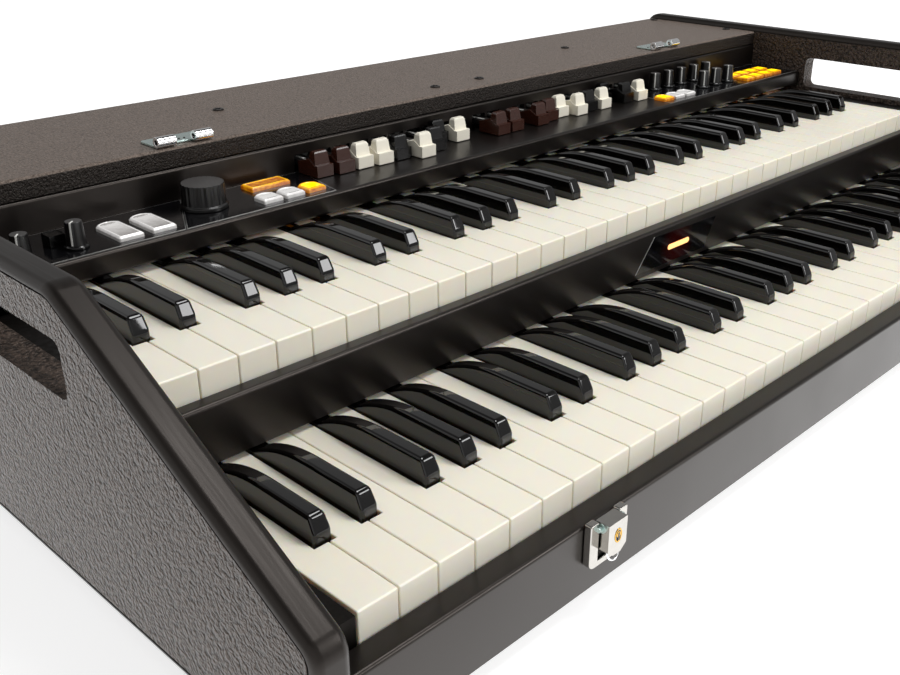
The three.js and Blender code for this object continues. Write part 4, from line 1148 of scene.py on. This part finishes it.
knob_body = spun("knob_body", [(r * MM, h * MM) for r, h in [(0, 2), (5.9, 2), (5.0, 16.6), (0, 16.6)]])
soften(knob_body, 0.4 * MM, 3, angle=30)
top_finish(knob_body, knob_plastic, knob_top_reflection_paint)
knob_skirt = spun("knob_skirt", [(r * MM, h * MM) for r, h in
                  [(0, -9), (3, -9), (3, 0.4), (7.2, 0.4), (7.2, 1.7), (6.4, 2.5), (0, 2.5)]])
soften(knob_skirt, 0.3 * MM, 3, angle=30)
paint(knob_skirt, skirt_plastic)
side_strip = block("pointer_side", (-0.55 * MM, -5.95 * MM, 2.8 * MM), (0.55 * MM, -4.6 * MM, 16.4 * MM))
select(side_strip, "VERT", lambda v: v.co.z > 10 * MM)
bpy.ops.transform.translate(value=(0, 0.86 * MM, 0))
rest()
top_strip = block("pointer_top", (-0.55 * MM, -5.0 * MM, 16.2 * MM), (0.55 * MM, -0.5 * MM, 16.68 * MM))
for strip in (side_strip, top_strip):
    bevel(strip, 0.12 * MM, 1, lambda edge: True)
    paint(strip, print_white)
knob_model = join([knob_body, knob_skirt, side_strip, top_strip], "small_knob")
POINTERS = {"left_knob": (40, 49), "rear_knob": (55, 42, 48, 28, 10), "front_knob": (48, 67, 56)}
for name in KNOBS:
    row, number = name.rsplit("_", 1)
    low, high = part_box(name)
    place = Vector(((low.x + high.x) / 2, (low.y + high.y) / 2, high.z - KNOB_HEIGHT))
    turn = -math.radians(POINTERS[row][int(number) - 1])
    dress(copy_of(knob_model, f"{name}_cap", place, turn), name, "knob_plastic", stands_for=[name])
remove(knob_model)
print("small knobs:", len(KNOBS))

# %% [markdown]
# The large knob is spun with four corners to each flute. One corner in four on the drum is then
# drawn in to make the grooves.

# %% Large knob
FLUTES = 24
DIAL_HEIGHT = 17.1 * MM
drum = spun("large_knob_drum", [(r * MM, h * MM) for r, h in
            [(0, -9), (3, -9), (3, 0.4), (15.5, 0.4), (15.5, 3.0), (14.35, 3.4), (14.1, 17.1), (0, 17.1)]],
            steps=4 * FLUTES)
soften(drum, 0.5 * MM, 2, angle=30)
select(drum, "VERT", lambda v: v.co.z > 3.6 * MM and v.co.to_2d().length > 13.4 * MM
       and round(math.atan2(v.co.y, v.co.x) / (2 * math.pi) * 4 * FLUTES) % 4 == 0)
bpy.ops.transform.resize(value=(0.955, 0.955, 1), center_override=(0, 0, 0))
rest()
low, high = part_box("large_knob")
drum.data.transform(Matrix.Translation(((low.x + high.x) / 2, (low.y + high.y) / 2, high.z - DIAL_HEIGHT)))
shade(drum, 35)
top_finish(drum, knob_plastic, knob_top_reflection_paint)
dress(drum, "large_knob", "knob_plastic", stands_for=["large_knob"])
print("large knob:", len(drum.data.polygons), "faces")

# %% [markdown]
# Buttons and rockers are shallow translucent caps. A sloped rim runs round a plate that is dished a
# little, and a slit near the front lets the plate flex; the slit is a black strip, painted shade for
# the gap. Lit caps glow from the middle. Unlit clear caps get a painted highlight on the rim and a
# painted glow in the middle.

# %% Button and rocker caps
RIM, PLATE_DROP = 1.1 * MM, 0.4 * MM


def lit_cap(name, node, x, y, width, depth, bow, kind):
    low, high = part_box(node)
    if "rocker" in node:
        foot, top = low.z, high.z
    else:
        foot, top = SHELF_Z - 2.4 * MM, SHELF_Z + 3.2 * MM
    cap = prism(name, cap_plan(x, y, width, depth, bow), 2, foot, top - RIM)
    select(cap, "FACE", lambda face: face.normal.z > 0.9)
    bpy.ops.mesh.inset(thickness=1.1 * RIM, depth=RIM)
    bpy.ops.mesh.inset(thickness=1.0 * MM, depth=0)
    bpy.ops.mesh.inset(thickness=0.4 * MM, depth=-PLATE_DROP)
    bpy.ops.mesh.inset(thickness=1.7 * MM, depth=0)
    rest()
    bevel(cap, 0.9 * MM, 3, lambda edge: edge.calc_face_angle() > 0.6
          and abs(edge.verts[0].co.z - edge.verts[1].co.z) > 0.5 * MM)
    soften(cap, 0.12 * MM, 2, angle=25)
    layer = cap.data.attributes.new("glow", "FLOAT", "POINT")
    # on clear caps, which have no lamp, these glow values are painted highlight and painted glow
    ring, side = (0.4, 0.1) if kind == "amber" else (1.0, 0.5)
    for corner, value in zip(cap.data.vertices, layer.data):
        off = max(abs(corner.co.x - x) / (width / 2), abs(corner.co.y - y) / (depth / 2))
        if corner.co.z < top - 0.8 * RIM:
            value.value = side
        elif corner.co.z > top - 0.5 * PLATE_DROP:
            value.value = ring
        else:
            value.value = 0.1 if off > 0.7 else 1.0
    front = y - depth / 2 + 3.1 * MM
    # painted shade: a black strip stands for the slit instead of a cut
    slit_shade_strip = block("slit_shade_strip", (x - 0.22 * width, front, top - MM),
                 (x + 0.3 * width, front + 0.55 * MM, top - PLATE_DROP + 0.04 * MM))
    bevel(slit_shade_strip, 0.05 * MM, 1, lambda edge: True)
    finish = amber if kind == "amber" else clear
    cap = join([paint(cap, finish), paint(slit_shade_strip, skirt_plastic)], name)
    dress(cap, node, f"{kind}_plastic", stands_for=[node])


for entry in CAPS:
    lit_cap(*entry)
print("caps:", len(CAPS))

# %% [markdown]
# The slide switch is a small block with a finger dish, on a stem that goes through its slot.

# %% Slide switch
low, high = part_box("slide_switch")
cap_low = high.z - 7.2 * MM
slide = block("slide_switch_cap", (low.x, low.y, cap_low), high)
select(slide, "FACE", lambda face: near(middle(face).z, high.z))
bpy.ops.mesh.inset(thickness=1.5 * MM, depth=-0.8 * MM)
rest()
stem_half = 2 * MM
centre = (low + high) / 2
slide_stem = block("slide_stem", (centre.x - stem_half, centre.y - stem_half, low.z),
                   (centre.x + stem_half, centre.y + stem_half, cap_low + MM))
cut(slide, slide_stem, "UNION")
soften(slide, 0.4 * MM, 2)
dress(slide, "slide_switch", "knob_plastic", skirt_plastic, stands_for=["slide_switch"])
print("slide switch:", len(slide.data.polygons), "faces")

# %% [markdown]
# The badge place on the fascia is a smoked plate that leans to the right. It holds one plain level
# lamp bar with round ends. The plate glows a faint red round the lamp, a painted glow for the haze
# that the lamp behind it leaves.

# %% Badge
BADGE = [(-46.5, 75.2), (42.4, 74.6), (55.9, 97.2), (-25.8, 99.4)]
plate = prism("badge_plate", [(x * MM, z * MM) for x, z in BADGE], 1,
              FASCIA_FACE - 0.35 * MM, FASCIA_FACE)
soften(plate, 0.12 * MM, 2)
dress(plate, "case", "inlet_plastic", badge_film)
edge_line = prism("badge_edge", [(x * MM, z * MM) for x, z in
                  [(-47.1, 75.2), (-46.5, 75.2), (-25.8, 99.4), (-26.4, 99.4)]], 1,
                  FASCIA_FACE - 0.4 * MM, FASCIA_FACE)
bevel(edge_line, 0.08 * MM, 1, lambda edge: True)
dress(edge_line, "case", "chrome", silver_line)
BAR_LOW, BAR_HIGH = (-8 * MM, 84.6 * MM), (20 * MM, 89 * MM)
lamp_bar = block("badge_lamp_bar", (BAR_LOW[0], FASCIA_FACE - 0.5 * MM, BAR_LOW[1]),
                 (BAR_HIGH[0], FASCIA_FACE - 0.3 * MM, BAR_HIGH[1]))
round_corners(lamp_bar, 1, [(x, z) for x in (BAR_LOW[0], BAR_HIGH[0])
                            for z in (BAR_LOW[1], BAR_HIGH[1])], 2.1 * MM, 6)
select(lamp_bar, "FACE", lambda face: face.normal.y < -0.9)
bpy.ops.mesh.inset(thickness=0.4 * MM, depth=0.1 * MM)
rest()
layer = lamp_bar.data.attributes.new("glow", "FLOAT", "POINT")
for corner, value in zip(lamp_bar.data.vertices, layer.data):
    value.value = 0.9 if corner.co.y < FASCIA_FACE - 0.55 * MM else 0.1
dress(lamp_bar, "case", "amber_plastic", lamp_glow)
print("badge lamp bar:", len(lamp_bar.data.polygons), "faces")

# %% [markdown]
# A latch is a thick U-shaped plate with two horns. Its hasp is a shell with chamfered lower corners
# and zinc barrels at its hinge. Its lock is a dark disc in a brass collar, with a brass plug and a
# keyhole; the keyhole is a black shape on the plug, painted shade for the hole. A wire ring shows
# below it.

# %% Latches
MOUTH_HALF, MOUTH_DEPTH = 8.1 * MM, 23 * MM
HASP_HALF, HASP_DEPTH = 7.5 * MM, 8.8 * MM
HASP_BARRELS = [(1.4 * MM, 20.8 * MM), (2.7 * MM, 15.8 * MM)]  # radius and length
LOCK_SHIFT, LOCK_DROP, PLUG_DROP, KEY_DROP = 0.4 * MM, 8.6 * MM, 8.0 * MM, 8.2 * MM
ALONG_X, ALONG_Y = (0, math.pi / 2, 0), (math.pi / 2, 0, 0)


def latch(side):
    low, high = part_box(f"{side}_latch_plate")
    x = (low.x + high.x) / 2
    mouth, floor_z = MOUTH_HALF, high.z - MOUTH_DEPTH
    outline = [(low.x, low.z), (high.x, low.z), (high.x, high.z), (x + mouth, high.z),
               (x + mouth, floor_z), (x - mouth, floor_z), (x - mouth, high.z), (low.x, high.z)]
    plate = prism(f"{side}_latch_frame", outline, 1, low.y, high.y)
    round_corners(plate, 1, [(low.x, low.z), (high.x, low.z)], 4 * MM, 6)
    round_corners(plate, 1, [(low.x, high.z), (high.x, high.z), (x + mouth, high.z),
                             (x - mouth, high.z)], 1.0 * MM, 3)
    soften(plate, 0.5 * MM, 3)
    backing = paint(block("latch_backing", (x - mouth, high.y - 0.6 * MM, floor_z),
                          (x + mouth, high.y, high.z - 2 * MM)), skirt_plastic)
    plate = join([paint(plate, nickel), backing], f"{side}_latch_frame")
    dress(plate, "case", "chrome", stands_for=[f"{side}_latch_plate"])

    low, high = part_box(f"{side}_latch_hasp")
    half, y0, y1 = HASP_HALF, low.y, low.y + HASP_DEPTH
    foot, top = low.z, high.z
    outline = [(x - half, foot + 3.6 * MM), (x - 3 * MM, foot), (x + 3 * MM, foot),
               (x + half, foot + 3.6 * MM), (x + half, top), (x - half, top)]
    shell = prism(f"{side}_hasp_shell", outline, 1, y0, y1)
    well = block("well", (x - half + 1.3 * MM, y0 + 1.3 * MM, foot + 3.5 * MM),
                 (x + half - 1.3 * MM, y1 + 5 * MM, top - 7 * MM))
    cut(shell, well)
    select(shell, "FACE", lambda face: face.normal.x < -0.9 and near(middle(face).x, x - half))
    bpy.ops.mesh.inset(thickness=1.2 * MM, depth=-0.5 * MM)
    rest()
    soften(shell, 0.4 * MM, 3)
    parts = [paint(shell, nickel)]
    pivot = Vector((x, y1 - 4 * MM, top - 3 * MM))
    for radius, length in HASP_BARRELS:
        barrel = rod(radius, length, pivot, ALONG_X)
        soften(barrel, 0.3 * MM, 2)
        parts.append(paint(barrel, zinc))
    lock_x = x + LOCK_SHIFT
    lock = rod(1, 0.5 * MM, (lock_x, y0 + 0.1 * MM, top - LOCK_DROP), ALONG_Y, 36,
               (2.7 * MM, 3.9 * MM, 1))
    soften(lock, 0.12 * MM, 2)
    parts.append(paint(lock, skirt_plastic))
    rest()
    bpy.ops.mesh.primitive_torus_add(major_radius=1, minor_radius=0.16, major_segments=36,
                                     minor_segments=8, rotation=ALONG_Y,
                                     location=(lock_x, y0 - 0.1 * MM, top - LOCK_DROP))
    collar = bpy.context.object
    collar.scale = (2.5 * MM, 3.7 * MM, 1.6 * MM)
    bpy.ops.object.transform_apply(location=True, rotation=True, scale=True)
    bpy.ops.object.shade_smooth()
    parts.append(paint(collar, brass))
    plug = rod(1.7 * MM, 0.6 * MM, (lock_x, y0 - 0.05 * MM, top - PLUG_DROP), ALONG_Y)
    soften(plug, 0.15 * MM, 2)
    parts.append(paint(plug, brass))
    key_x, key_z = lock_x, top - KEY_DROP
    # painted shade: the keyhole is a black shape on the plug, not a cut
    keyhole_shade = prism("keyhole_painted_shade", [(key_x - 0.5 * MM, key_z), (key_x - 0.9 * MM, key_z - 3.3 * MM),
                             (key_x + 0.5 * MM, key_z - 3.3 * MM), (key_x + 0.6 * MM, key_z),
                             (key_x + 0.8 * MM, key_z + 1.2 * MM), (key_x - 0.6 * MM, key_z + 1.2 * MM)],
                 1, y0 - 0.45 * MM, y0 + 0.1 * MM)
    parts.append(paint(keyhole_shade, skirt_plastic))
    hasp = join(parts, f"{side}_hasp")
    dress(hasp, f"{side}_latch_hasp", "chrome", stands_for=[f"{side}_latch_hasp"])

    rest()
    bpy.ops.mesh.primitive_torus_add(major_radius=4.3 * MM, minor_radius=0.55 * MM,
                                     major_segments=32, minor_segments=10,
                                     location=(x + 0.5 * MM, low.y + 3.2 * MM, foot - 0.6 * MM),
                                     rotation=(math.pi / 2 - 0.35, 0, 0))
    ring = bpy.context.object
    bpy.ops.object.transform_apply(location=True, rotation=True, scale=True)
    ring.name = f"{side}_latch_ring"
    bpy.ops.object.shade_smooth()
    dress(ring, f"{side}_latch_hasp", "chrome", chrome)


for side in ("left", "right"):
    latch(side)
print("latches: 2")

# %% [markdown]
# A hinge half is a zinc leaf under two chromed knuckles. A knuckle is a cylinder with its bore cut
# out, and a tongue leads from it to the leaf. Small rivets hold the leaf down.

# %% Hinges
KNUCKLE_RADIUS, KNUCKLE_LENGTH, BORE_RADIUS, LEAF_THICK = 3.75 * MM, 13.6 * MM, 1.75 * MM, 1.5 * MM


def hinge(side):
    low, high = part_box(f"{side}_hinge_half")
    radius, length = KNUCKLE_RADIUS, KNUCKLE_LENGTH
    axis_y, axis_z = low.y + radius, low.z + radius
    leaf_top = low.z + LEAF_THICK
    parts = []
    leaf = block("leaf", (low.x, axis_y + 3 * MM, low.z), (high.x, high.y, leaf_top))
    round_corners(leaf, 2, [(low.x, high.y), (high.x, high.y)], 2 * MM, 5)
    soften(leaf, 0.25 * MM, 2)
    parts.append(paint(leaf, zinc))
    for x0 in (low.x, high.x - length):
        centre = (x0 + length / 2, axis_y, axis_z)
        barrel = rod(radius, length, centre, ALONG_X, 48)
        cut(barrel, rod(BORE_RADIUS, 2 * length, centre, ALONG_X, 32))
        soften(barrel, 0.3 * MM, 3)
        parts.append(paint(barrel, chrome))
        tongue = block("tongue", (x0, axis_y + 0.6 * radius, low.z),
                       (x0 + length, axis_y + 3.8 * MM, leaf_top - 0.02 * MM))
        soften(tongue, 0.2 * MM, 2)
        parts.append(paint(tongue, zinc))
    for x in (low.x + 3.5 * MM, low.x + 7.5 * MM, high.x - 19.5 * MM, high.x - 15.5 * MM):
        rest()
        bpy.ops.mesh.primitive_uv_sphere_add(segments=16, ring_count=8, radius=0.9 * MM,
                                             location=(x, axis_y + 8.5 * MM, leaf_top - 0.35 * MM))
        bpy.ops.object.transform_apply(location=True, rotation=True, scale=True)
        rivet = bpy.context.object
        bpy.ops.object.shade_smooth()
        parts.append(paint(rivet, screw_black))
    made = join(parts, f"{side}_hinge")
    dress(made, "case", "chrome", stands_for=[f"{side}_hinge_half"])


for side in ("left", "right"):
    hinge(side)
print("hinges: 2")

# %% [markdown]
# Last, the size of the dressed model is printed.

# %% Print the size and close
low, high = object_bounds()
print("size:", [round(v / MM, 1) for v in high - low])
